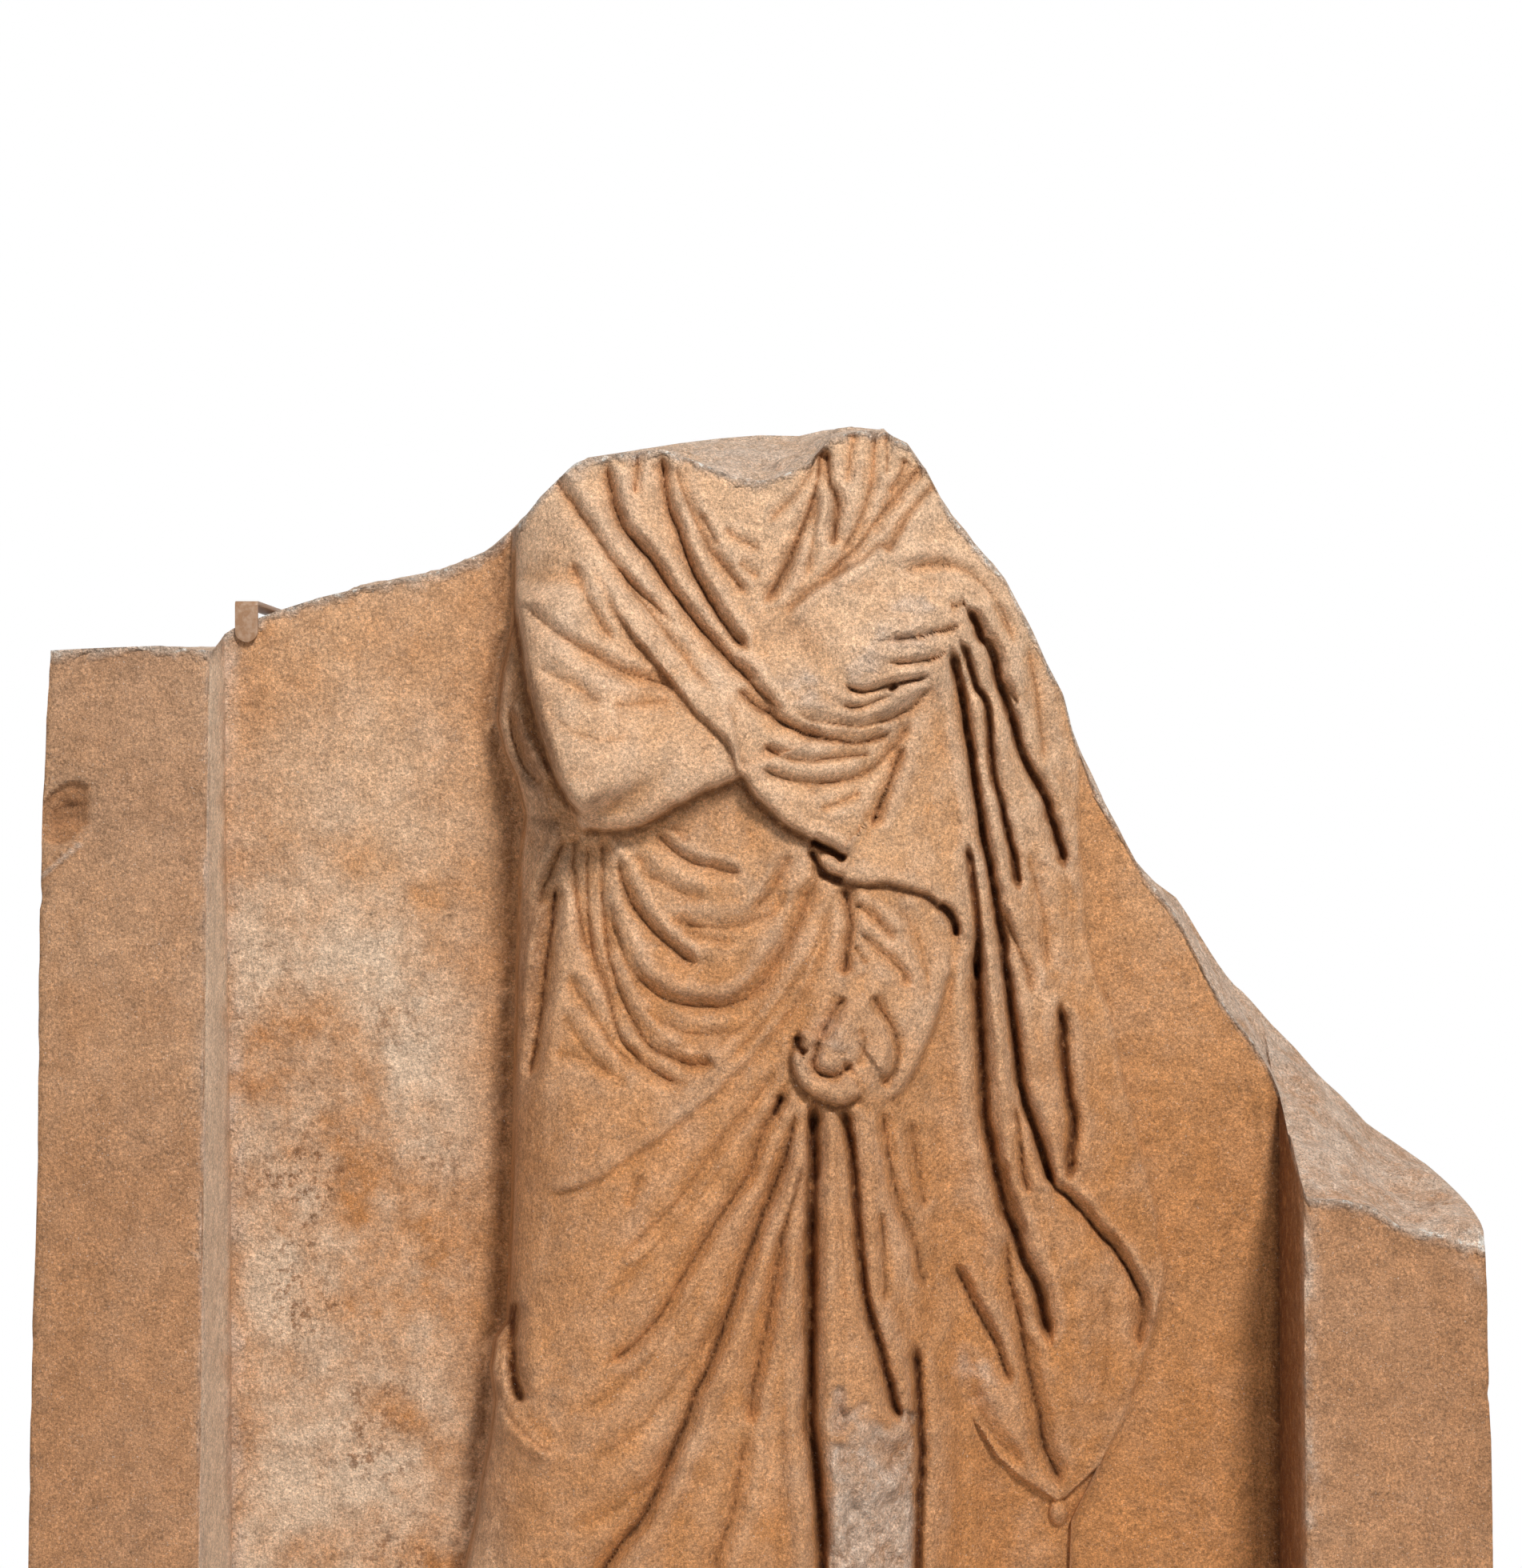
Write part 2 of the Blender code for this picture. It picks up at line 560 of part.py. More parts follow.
def build_clip(collection):
    """The bent metal strip that hooks over the broken top edge."""
    middle, face, top = clip_seat()
    front = face - CLIP_GAP
    rear = BACK_Y + CLIP_GAP
    over = top + CLIP_GAP + CLIP_BEND
    foot = over - CLIP_TONGUE
    heel = over - CLIP_HEEL
    half = CLIP_WIDTH / 2
    path = []
    for step in range(7):
        rise = half * (1.0 - math.cos(math.radians(15 * step)))
        path.append((front, foot + rise, half * math.sin(math.radians(15 * step))))
    for step in range(4):
        angle = math.radians(30 * step)
        drop = CLIP_BEND * (1 - math.sin(angle))
        path.append((front + CLIP_BEND * (1 - math.cos(angle)), over - drop, half))
    for step in range(4):
        angle = math.radians(90 - 30 * step)
        drop = CLIP_BEND * (1 - math.sin(angle))
        path.append((rear - CLIP_BEND * (1 - math.cos(angle)), over - drop, half))
    path.append((rear, heel, half))
    path[0] = (front, foot, half * 0.2)
    strip = bmesh.new()
    bmesh.ops.create_grid(strip, x_segments=2, y_segments=len(path) - 1, size=1.0)
    last = len(path) - 1
    for vertex in strip.verts:
        depth, height, reach = path[round((vertex.co.y + 1.0) / 2.0 * last)]
        vertex.co = (middle + vertex.co.x * reach, depth, height)
    bmesh.ops.recalc_face_normals(strip, faces=strip.faces)
    item = new_object("retaining_clip", strip, CLIP_COLOUR, 0.5, 0.0, collection)
    wall = item.modifiers.new("thickness", "SOLIDIFY")
    wall.thickness = CLIP_THICKNESS
    wall.use_even_offset = True
    outward = item.data.polygons[2].normal.y < 0
    wall.offset = 1.0 if outward else -1.0
    return item


def main():
    """Builds the stone and its clip in a collection of their own."""
    clear_scene()
    collection = bpy.data.collections.new("carved_stone_stele")
    bpy.context.scene.collection.children.link(collection)
    build_stele(collection)
    build_clip(collection)


main()
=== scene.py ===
"""Looks of a carved marble stele fragment: a draped, headless figure between two antae.

The stone is one carved piece, bent from a grid to the same layout as the solid behind it, with the finer
folds, breaks and chips that the solid leaves out. Lengths are metres unless a name says squares: the
carving is laid out on squares of 5.5 mm, x to the right and y down, as the front is seen from the eye.
"""

import logging
import math
from collections.abc import Callable
from dataclasses import dataclass, field
from enum import Enum

import bmesh
import bpy
import numpy as np
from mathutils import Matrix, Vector


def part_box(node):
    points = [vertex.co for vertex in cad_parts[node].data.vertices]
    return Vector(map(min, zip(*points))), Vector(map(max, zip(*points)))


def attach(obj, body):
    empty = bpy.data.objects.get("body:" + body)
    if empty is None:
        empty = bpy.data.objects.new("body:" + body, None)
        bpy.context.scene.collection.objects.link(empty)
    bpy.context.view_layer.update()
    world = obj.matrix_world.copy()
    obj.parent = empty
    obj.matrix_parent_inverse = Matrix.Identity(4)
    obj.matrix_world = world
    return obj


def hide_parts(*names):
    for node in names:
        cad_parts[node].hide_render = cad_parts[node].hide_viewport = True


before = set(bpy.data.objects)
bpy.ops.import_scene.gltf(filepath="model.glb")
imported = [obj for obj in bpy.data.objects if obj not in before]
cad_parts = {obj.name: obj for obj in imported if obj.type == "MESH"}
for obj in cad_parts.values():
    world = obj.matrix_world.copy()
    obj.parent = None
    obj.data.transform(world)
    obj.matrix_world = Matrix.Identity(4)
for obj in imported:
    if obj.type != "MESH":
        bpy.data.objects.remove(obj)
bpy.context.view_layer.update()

LOG = logging.getLogger("stele")
Grid = np.ndarray
Guide = Callable[[Grid], Grid]
Points = tuple[tuple[float, float], ...]


def read_off(pairs: Points, at: Grid) -> Grid:
    """Reads the second of each pair off at the first one.

    Args:
        pairs: Knots in rising order of the first number.
        at: Places to read at.

    Returns:
        The values there, level beyond both ends.
    """
    knots = np.array(pairs, float)
    return np.interp(at, knots[:, 0], knots[:, 1])


def ease(share: Grid) -> Grid:
    """A soft ramp from 0 to 1."""
    held = np.clip(share, 0.0, 1.0)
    return held * held * (3.0 - 2.0 * held)


def quarter(share: Grid) -> Grid:
    """A ramp from 0 to 1 that rises like a quarter of an ellipse."""
    return np.sqrt(np.clip(1.0 - (1.0 - np.clip(share, 0.0, 1.0)) ** 2, 0.0, 1.0))


def lattice(column: Grid, row: Grid, seed: float) -> Grid:
    """A fixed random number from 0 to 1 for each crossing of a lattice."""
    wave = np.sin(column * 127.1 + row * 311.7 + seed * 74.7) * 43758.5453
    return wave - np.floor(wave)


def grain(x: Grid, y: Grid, seed: float) -> Grid:
    """Smooth value noise from -1 to 1.

    Args:
        x: Across, in noise cells.
        y: Down, in noise cells.
        seed: Picks one of many patterns.

    Returns:
        The noise at each place.
    """
    column, row = np.floor(x), np.floor(y)
    right, down = ease(x - column), ease(y - row)
    top = lattice(column, row, seed) * (1 - right) + lattice(column + 1, row, seed) * right
    low = lattice(column, row + 1, seed) * (1 - right) + lattice(column + 1, row + 1, seed) * right
    return (top * (1 - down) + low * down) * 2.0 - 1.0


def rough(x: Grid, y: Grid, seed: float, layers: int = 3) -> Grid:
    """Broken ground: layers of value noise, each half as tall and twice as fine as the one before.

    Args:
        x: Across, in cells of the first layer.
        y: Down, in cells of the first layer.
        seed: Picks one of many patterns.
        layers: How many layers.

    Returns:
        The height at each place, from about -2 to 2.
    """
    total = np.zeros(np.broadcast(x, y).shape)
    for layer in range(layers):
        total += grain(x * 2.0**layer, y * 2.0**layer, seed + 3.7 * layer) / 2.0**layer
    return total


def smooth_line(points: Points, steps: int = 7) -> Grid:
    """Runs a curve through points.

    Args:
        points: The places that the curve passes.
        steps: Straight lengths between one place and the next.

    Returns:
        The curve as a chain of places.
    """
    knots = np.array(points, float)
    padded = np.vstack([2 * knots[0] - knots[1], knots, 2 * knots[-1] - knots[-2]])
    chain = [knots[0]]
    for first in range(len(knots) - 1):
        a, b, c, d = padded[first:first + 4]
        for step in range(1, steps + 1):
            t = step / steps
            curve = 2 * b + (c - a) * t + (2 * a - 5 * b + 4 * c - d) * t**2 + (3 * b - a - 3 * c + d) * t**3
            chain.append(0.5 * curve)
    return np.array(chain)


def beside(x: Grid, y: Grid, chain: Grid) -> tuple[Grid, Grid]:
    """Measures places against a chain.

    Args:
        x: Places across.
        y: Places down.
        chain: The chain of points.

    Returns:
        The signed distance from the chain, left hand positive, and the share of its length passed.
    """
    start = chain[:-1]
    run = chain[1:] - start
    length = np.hypot(run[:, 0], run[:, 1])
    reached = np.concatenate([[0.0], np.cumsum(length)])
    off_x = x[..., None] - start[:, 0]
    off_y = y[..., None] - start[:, 1]
    along = np.clip((off_x * run[:, 0] + off_y * run[:, 1]) / length**2, 0.0, 1.0)
    away = np.hypot(off_x - along * run[:, 0], off_y - along * run[:, 1])
    best = np.argmin(away, axis=-1)[..., None]
    side = np.sign(off_x * run[:, 1] - off_y * run[:, 0])
    distance = np.take_along_axis(away * side, best, axis=-1)[..., 0]
    passed = np.take_along_axis(reached[:-1] + along * length, best, axis=-1)[..., 0]
    return distance, passed / reached[-1]


class Cut(Enum):
    """How a stroke of the chisel changes the surface."""

    VALLEY = "valley"
    CHANNEL = "channel"
    EDGE = "edge"
    RIDGE = "ridge"


class Ground(Enum):
    """What a column of the carved front runs over."""

    ANTA = "anta"
    LEFT_WALL = "left wall"
    RIGHT_WALL = "right wall"
    PANEL = "panel"
    LEFT_STEP = "left step"
    RIGHT_STEP = "right step"
    FIGURE = "figure"


@dataclass(frozen=True)
class Chisel:
    """How the strokes are cut. Distances are in half widths of the stroke, those of an edge in squares.

    Attributes:
        thin_end: How wide a valley or channel still is where it runs out, as a share.
        thin_roll: How wide a roll still is there, as a share.
        depth: Gain on a stroke's depth.
        shade_and_stain: Gain on its dirt and painted shade.
        lip_height: Height of a raised lip, as a share of the depth.
        lip_away: How far away a lip stands.
        lip_spread: How far it spreads.
        crease_fall: How steeply the crease at the floor of a valley falls.
        valley_spread: How far the soft part of a valley spreads.
        channel_spread: How far the soft part of a channel spreads.
        channel_core: Share of a channel's depth in its upright walls.
        valley_shade_and_stain: How fast the dirt and painted shade fade beside a valley.
        channel_shade_and_stain: How far the dirt and painted shade fill a channel.
        edge_soft: Half width of an edge's slope.
        roll_height: Height of the roll along an edge, as a share.
        roll_away: Where that roll lies.
        roll_spread: How far it spreads.
        foot_depth: Depth of the groove at an edge's foot, as a share.
        foot_away: Where that groove lies.
        foot_spread: How far it spreads.
    """

    thin_end: float = 0.35
    thin_roll: float = 0.5
    depth: float = 1.6
    shade_and_stain: float = 1.25
    lip_height: float = 0.28
    lip_away: float = 3.0
    lip_spread: float = 1.7
    crease_fall: float = 1.5
    valley_spread: float = 3.2
    channel_spread: float = 2.8
    channel_core: float = 0.6
    valley_shade_and_stain: float = 1.25
    channel_shade_and_stain: float = 0.95
    edge_soft: float = 0.34
    roll_height: float = 0.10
    roll_away: float = 1.1
    roll_spread: float = 0.9
    foot_depth: float = 0.22
    foot_away: float = -0.45
    foot_spread: float = 0.55


CHISEL = Chisel()


def hump(away: Grid, spread: Grid | float) -> Grid:
    """A rounded hump, 1 at no distance, that dies away over its spread."""
    return np.exp(-((away / spread) ** 2))


@dataclass(frozen=True)
class Fold:
    """One stroke of carving on the figure.

    A valley is a crease with raised lips. A channel is one with upright walls. An edge lifts the cloth on
    its left hand. A ridge is a roll.

    Attributes:
        cut: Kind of stroke.
        half_width: Half width of the channel or roll, or the reach of the lifted cloth, in squares.
        height: Depth or height in millimetres.
        points: Places that it passes, in squares.
        patina_and_shade: How dark the dirt and painted shade in it are, from 0 to 1.
        lean: 1 lifts only the left lip, -1 only the right one, 0 both.
        runout: Share of the length over which each end fades.
    """

    cut: Cut
    half_width: float
    height: float
    points: Points
    patina_and_shade: float = 0.4
    lean: float = 0.0
    runout: float = 0.16

    def reach(self) -> float:
        """How far from its line the stroke still matters, in squares."""
        return self.half_width * (7.5 if self.cut in (Cut.VALLEY, Cut.CHANNEL) else 2.6) + 2.0

    def profile(self, away: Grid, fade: Grid) -> tuple[Grid, Grid]:
        """Cross-section of the stroke.

        Args:
            away: Signed distance from the line, left hand positive.
            fade: 1 along the stroke, down to 0 at its ends, where it also narrows.

        Returns:
            The change of height in millimetres, and the dirt with painted shade from 0 to 1.
        """
        cut = CHISEL
        if self.cut is Cut.RIDGE:
            apart = away / (self.half_width * (cut.thin_roll + (1.0 - cut.thin_roll) * fade))
            return self.height * fade * hump(apart, 1.0), np.zeros_like(away)
        if self.cut is Cut.EDGE:
            lifted = 0.5 + 0.5 * np.tanh(away / cut.edge_soft)
            lifted = lifted * hump(np.maximum(away, 0.0), self.half_width)
            roll = cut.roll_height * hump(away - cut.roll_away, cut.roll_spread)
            # The groove at the foot is painted dark, with dirt and with the shade under the lifted cloth.
            foot = hump(away - cut.foot_away, cut.foot_spread)
            return self.height * fade * (lifted + roll - cut.foot_depth * foot), self.patina_and_shade * fade * foot
        apart = np.abs(away) / (self.half_width * (cut.thin_end + (1.0 - cut.thin_end) * fade))
        # The floor of a channel or valley is painted dark, with old dirt and with shade.
        if self.cut is Cut.CHANNEL:
            hollow = cut.channel_core * np.exp(-(apart**3))
            hollow = hollow + (1.0 - cut.channel_core) * hump(apart, cut.channel_spread)
            shade_and_stain = hump(apart, cut.channel_shade_and_stain)
        else:
            hollow = 0.5 * np.exp(-cut.crease_fall * apart) + 0.5 * hump(apart, cut.valley_spread)
            shade_and_stain = np.exp(-cut.valley_shade_and_stain * apart)
        lips = hump(apart - cut.lip_away, cut.lip_spread)
        lips = lips * (1.0 + self.lean * np.sign(away) * ease(apart / 2.0))
        return (cut.depth * self.height * fade * (cut.lip_height * lips - hollow),
                cut.shade_and_stain * self.patina_and_shade * fade * shade_and_stain)


def valley(half_width: float, depth: float, *points: tuple[float, float], patina_and_shade: float = 0.4,
           lean: float = 0.0, runout: float = 0.16) -> Fold:
    """A channel between folds; see Fold for its terms."""
    return Fold(Cut.VALLEY, half_width, depth, points, patina_and_shade, lean, runout)


def drilled(half_width: float, depth: float, *points: tuple[float, float], lean: float = 0.0,
            runout: float = 0.1) -> Fold:
    """A channel run with the drill, deep and dark with old dirt and painted shade; see Fold for its terms."""
    return Fold(Cut.CHANNEL, half_width, depth, points, 1.0, lean, runout)


def edge(reach: float, height: float, *points: tuple[float, float], patina_and_shade: float = 0.5,
         runout: float = 0.1) -> Fold:
    """A layer of cloth that ends in an edge; see Fold for its terms."""
    return Fold(Cut.EDGE, reach, height, points, patina_and_shade, 0.0, runout)


def ridge(half_width: float, height: float, *points: tuple[float, float], runout: float = 0.2) -> Fold:
    """A roll of cloth; see Fold for its terms."""
    return Fold(Cut.RIDGE, half_width, height, points, 0.0, 0.0, runout)


@dataclass(frozen=True)
class Mass:
    """A rounded mass under the cloth, in squares, degrees and millimetres.

    Attributes:
        x: Its middle across the layout.
        y: Its middle down the layout.
        half_width: Half its width.
        half_height: Half its height.
        turn: How far it is turned.
        height: Its height over the ground.
        power: How square its dome is.
    """

    x: float
    y: float
    half_width: float
    half_height: float
    turn: float
    height: float
    power: float = 1.6

    def lift(self, x: Grid, y: Grid) -> Grid:
        """Measures the mass.

        Args:
            x: Places across, in squares.
            y: Places down, in squares.

        Returns:
            The height that it adds, in millimetres.
        """
        angle = math.radians(self.turn)
        along = (x - self.x) * math.cos(angle) + (y - self.y) * math.sin(angle)
        across = (y - self.y) * math.cos(angle) - (x - self.x) * math.sin(angle)
        inside = np.clip(1.0 - (along / self.half_width) ** 2 - (across / self.half_height) ** 2, 0.0, 1.0)
        return self.height * inside**self.power


@dataclass(frozen=True)
class Layout:
    """The squared layout of the front and how it maps to the stone.

    Attributes:
        figure_height: Height of the whole figure with its head.
        squares: The same height in squares.
        axis: The upright that the eye faces, in squares.
        sole: Height of the soles in the layout.
        eye: Height of the eye in the layout.
        crown: Height of the broken neck's top in the layout.
        sight: How far the eye stands in front of the antae.
    """

    figure_height: float = 1.254
    squares: float = 228.0
    axis: float = 95.2
    sole: float = 247.0
    eye: float = 98.0
    crown: float = 53.4
    sight: float = 2.3

    @property
    def square(self) -> float:
        """The side of one square."""
        return self.figure_height / self.squares

    def scale_at(self, forward: Grid) -> Grid:
        """How much wider than the layout a thing is when it lies this far in front of the antae."""
        return 1.0 - forward / self.sight


@dataclass(frozen=True)
class Slab:
    """The block: its outline, its two antae, the sunk panel and the broken top.

    Attributes:
        layout: The squared layout.
        width: Width at the foot.
        left_anta: Width of the left anta.
        right_anta: Width of the right anta.
        taper: How far each edge leans in up to the neck.
        ledge: Height of the ledge.
        projection: How far the ledge stands in front of the antae.
        recess: How far the panel lies behind them.
        thickness: Stone behind the panel.
        behind: What the clip needs behind the stone.
        left_drift: How far the left anta narrows, in squares to a square of height.
        right_drift: The same for the right anta.
        wall_splay: How far the left wall's foot moves out, low down.
        wall_soft: How far the walls start behind the antae.
        edge_wear: Depth of the wear on the outer edges, in squares.
        wear_run: Length of one wave of that wear, in squares.
        nick: Depth of the nick in each outer edge, in squares.
        left_nick: Height of the left edge's nick in the layout.
        right_nick: Height of the right edge's nick in the layout.
        chip_y: Height of the left anta's chip in the layout.
        chip_inset: How far its middle lies from the edge, in squares.
        chip_half_width: Half its width in squares.
        chip_half_height: Half its height in squares.
        chip_slant: How far it leans, in squares to a square.
        chip_depth: Its depth.
        crack_depth: Depth of the crack below it.
        crack_width: Half width of that crack, in squares.
        left_side: The block's left edge, as height and place in squares.
        right_side: The block's right edge, as height and place in squares.
        front_edge: The break's front edge, as place and height in squares.
        crest: The break's outline against the light, as place and height in squares.
    """

    layout: Layout = Layout()
    width: float = 1.008
    left_anta: float = 0.115
    right_anta: float = 0.128
    taper: float = 0.018
    ledge: float = 0.100
    projection: float = 0.040
    recess: float = 0.113
    thickness: float = 0.100
    behind: float = 0.0034
    left_drift: float = 0.006
    right_drift: float = 0.012
    wall_splay: float = 0.004
    wall_soft: float = 0.0012
    edge_wear: float = 0.12
    wear_run: float = 6.0
    nick: float = 0.3
    left_nick: float = 112.4
    right_nick: float = 174.2
    chip_y: float = 101.6
    chip_inset: float = 2.9
    chip_half_width: float = 3.3
    chip_half_height: float = 4.1
    chip_slant: float = 0.25
    chip_depth: float = 0.011
    crack_depth: float = 0.0025
    crack_width: float = 0.35
    front_edge: Points = (
        (4, 81.8), (6.5, 81.3), (12, 81), (20, 80.7), (26.6, 81.4), (28.4, 78.9), (34, 76.6), (40, 74.7),
        (45, 73.5), (50, 72.4), (55, 71.4), (61, 68.9), (63, 67.3), (65, 65.4), (67.5, 62.3), (70, 59.8),
        (72, 57.9), (73.5, 57.3), (78, 56.6), (83, 56.2), (85, 56.9), (88, 58), (92, 59.7), (95, 60.1),
        (97, 59.8), (101, 58), (102.6, 56.3), (104, 54.6), (108, 53.8), (111, 54.1), (113.5, 55.6),
        (116, 59.1), (118.5, 64), (121.5, 67.5), (125.5, 72.2), (127.5, 76), (129, 78.8), (131, 83),
        (133, 86.8), (134.5, 92.6), (136, 97), (138, 100.2), (141, 105.8), (143, 109.3), (145, 111.5),
        (147.5, 115),
        (149.5, 119.2), (152, 124), (154.5, 127.5), (157, 130.6), (159, 134.2), (160.3, 137.4),
        (161.5, 144), (163.5, 150), (168, 150), (172, 151), (175, 153.4), (180, 154.5), (187, 156.4),
    )
    crest: Points = (
        (4, 81.8), (12, 81), (20, 80.4), (28.4, 78.4), (34, 76.4), (40, 74.5), (45, 73.4), (50, 72.2),
        (55, 71.3), (61, 68.8), (65, 65.3), (70, 59.7), (73.5, 57.2), (80, 56.2), (85, 55.4), (90, 54.8),
        (95, 54.4), (100, 54.5), (103, 53.8), (107, 53.4), (110, 53.7), (113.5, 55.4), (116, 59), (118.5, 64),
        (121.5, 67.4), (125.5, 72.1), (129, 78.6), (131, 83), (134.5, 92.5), (138, 100), (142.2, 107.9),
        (144.5, 110.3), (147.5, 112.5), (149.5, 116), (152, 120), (154, 122.8), (155.7, 124.2), (159, 128),
        (162, 131), (165, 134.5), (168, 137.2), (171, 140.5), (174, 142.5), (178, 145.3), (180, 146.4),
        (182.5, 147.8), (183.7, 150.5), (187, 156),
    )

    left_side: Points = (
        (82, 6.35), (90, 5.8), (100, 5.4), (110, 5.1), (120, 4.9), (140, 4.8), (150, 4.65), (157, 4.45),
        (165, 4.1), (180, 3.8), (196, 3.58), (247, 3.6),
    )
    right_side: Points = (
        (150, 185.5), (154.5, 185.7), (160, 185.95), (170, 186.2), (175, 186.2), (180, 186.5), (196, 186.78),
        (247, 186.8),
    )

    @property
    def back(self) -> float:
        """Where the rear face lies."""
        return (self.thickness + self.recess + self.projection - self.behind) / 2

    @property
    def face(self) -> float:
        """Where the front of the antae lies."""
        return self.back - self.thickness - self.recess

    def lean(self, y: Grid) -> Grid:
        """How far an edge has leaned in at a height in the layout."""
        return self.taper * (self.layout.sole - y) / (self.layout.sole - self.layout.crown)

    def left_edge(self, y: Grid) -> Grid:
        """Finds the slab's worn left edge.

        Args:
            y: Height in the layout.

        Returns:
            The place across the layout, in squares.
        """
        wear = self.edge_wear * rough(y / self.wear_run, y * 0.0, 4.0)
        nicked = wear + self.nick * hump(y - self.left_nick, 1.3)
        return read_off(self.left_side, y) + np.maximum(nicked, 0.0)

    def right_edge(self, y: Grid) -> Grid:
        """Finds the slab's worn right edge.

        Args:
            y: Height in the layout.

        Returns:
            The place across the layout, in squares.
        """
        wear = self.edge_wear * rough(y / self.wear_run, y * 0.0 + 3.0, 9.0)
        nicked = wear + self.nick * hump(y - self.right_nick, 1.2)
        return read_off(self.right_side, y) - np.maximum(nicked, 0.0)

    def left_arris(self, y: Grid) -> Grid:
        """The left anta's inner front edge in squares."""
        plain = self.layout.axis - (self.width / 2 - self.lean(y)) / self.layout.square
        return plain + self.left_anta / self.layout.square - self.left_drift * (self.layout.sole - y)

    def right_arris(self, y: Grid) -> Grid:
        """The right anta's inner front edge in squares."""
        plain = self.layout.axis + (self.width / 2 - self.lean(y)) / self.layout.square
        return plain - self.right_anta / self.layout.square + self.right_drift * (self.layout.sole - y)

    def panel(self, x: Grid, y: Grid) -> Grid:
        """Measures the panel, which lies deeper at the foot and at the right.

        Args:
            x: Places across, in squares.
            y: Places down, in squares.

        Returns:
            How far in front of the antae the panel lies, which is less than nothing.
        """
        left = read_off(((80, 0.53), (120, 0.76), (150, 0.92), (196, 1.0)), y)
        right = read_off(((100, 0.9), (150, 0.95), (196, 1.0)), y)
        across = np.clip((x - 28.0) / 132.0, 0.0, 1.0)
        waves = 0.0007 * rough(x / 6.0, y / 7.0, 21.0) + 0.0003 * grain(x / 1.1, y / 1.3, 33.0)
        return -self.recess * (left + (right - left) * across) + waves

    def left_corner(self, y: Grid) -> Grid:
        """The foot of the left anta's inner wall in squares."""
        splay = self.wall_splay * np.clip((y - 110.0) / 90.0, 0.0, 1.0) / self.layout.square + 0.1
        return self.layout.axis + (self.left_arris(y) - self.layout.axis + splay) / self.corner_scale(28.0, y)

    def right_corner(self, y: Grid) -> Grid:
        """The foot of the right anta's inner wall in squares."""
        return self.layout.axis + (self.right_arris(y) - self.layout.axis - 0.1) / self.corner_scale(160.0, y)

    def corner_scale(self, x: float, y: Grid) -> Grid:
        """The scale at the panel beside a wall."""
        return self.layout.scale_at(self.panel(np.full_like(y, x), y))

    def anta(self, x: Grid, y: Grid) -> Grid:
        """The worn front of an anta, with the shell-shaped chip in the left one.

        Args:
            x: Places across, in squares.
            y: Places down, in squares.

        Returns:
            Metres in front of the unworn face.
        """
        left = x < self.layout.axis
        arris = np.where(left, self.left_arris(y) - x, x - self.right_arris(y))
        outer = np.where(left, x - self.left_edge(y), self.right_edge(y) - x)
        bruise = np.where(left, 0.35, 0.45 + 0.9 * hump(y - 160.0, 16.0))
        knocks = bruise * (1.0 + 0.8 * rough(y / 3.5, x * 0.0, 51.0))
        worn = 0.0030 * hump(arris, np.maximum(knocks, 0.15)) + 0.0020 * hump(outer, 0.4)
        waves = 0.0005 * rough(x / 5.0, y / 6.0, 12.0) + 0.0002 * grain(x / 0.9, y / 1.0, 5.0)
        shell = self.shell(x, y)
        ripples = 1.0 + 0.2 * np.sin(7.0 * np.sqrt(np.clip(1.0 - shell, 0.0, 4.0)))
        ripples = ripples + 0.2 * grain(x / 1.2, y / 0.9, 8.0)
        chip = self.chip_depth * np.clip(shell, 0.0, 1.0) ** 0.55 * ripples
        chip = chip + self.crack_depth * hump(self.crack(x, y), self.crack_width)
        return waves - worn - np.where(left, chip, 0.0)

    def shell(self, x: Grid, y: Grid) -> Grid:
        """How far inside the left anta's chip a place lies: 1 in its middle, 0 at its rim."""
        across = x - self.left_edge(y) - self.chip_inset + self.chip_slant * (y - self.chip_y)
        return 1.0 - (across / self.chip_half_width) ** 2 - ((y - self.chip_y) / self.chip_half_height) ** 2

    def crack(self, x: Grid, y: Grid) -> Grid:
        """How far a place lies from the crack below the chip, in squares."""
        return np.abs(y - 108.9 + 0.85 * (x - 6.0)) + 9.0 * np.clip(x - 9.9, 0.0, 9.0)

    def anta_marks(self, x: Grid, y: Grid) -> tuple[Grid, Grid]:
        """The marks on an anta.

        Args:
            x: Places across, in squares.
            y: Places down, in squares.

        Returns:
            The dirt in the chip and beside the crack, and the pale wear along the inner edge.
        """
        left = x < self.layout.axis
        arris = np.where(left, self.left_arris(y) - x, x - self.right_arris(y))
        crack = self.crack(x, y)
        dirt_and_shade = 0.5 * ease(self.shell(x, y) / 0.2) + 0.5 * hump(crack - 0.7, 0.4)
        worn = hump(arris, np.where(left, 0.45, 1.3)) * (0.6 + 0.7 * rough(x / 1.3, y / 2.6, 37.0))
        pale = np.where(left, 1.2 * hump(crack, self.crack_width), 0.0)
        corner = np.where(left, 0.0, hump(x - 184.2, 1.6) * hump(y - 157.0, 3.4))
        pale = np.maximum(pale, corner * (0.6 + 0.6 * rough(x / 1.1, y / 1.6, 39.0)))
        return np.where(left, dirt_and_shade, 0.0), np.clip(np.maximum(worn, pale), 0.0, 0.9)


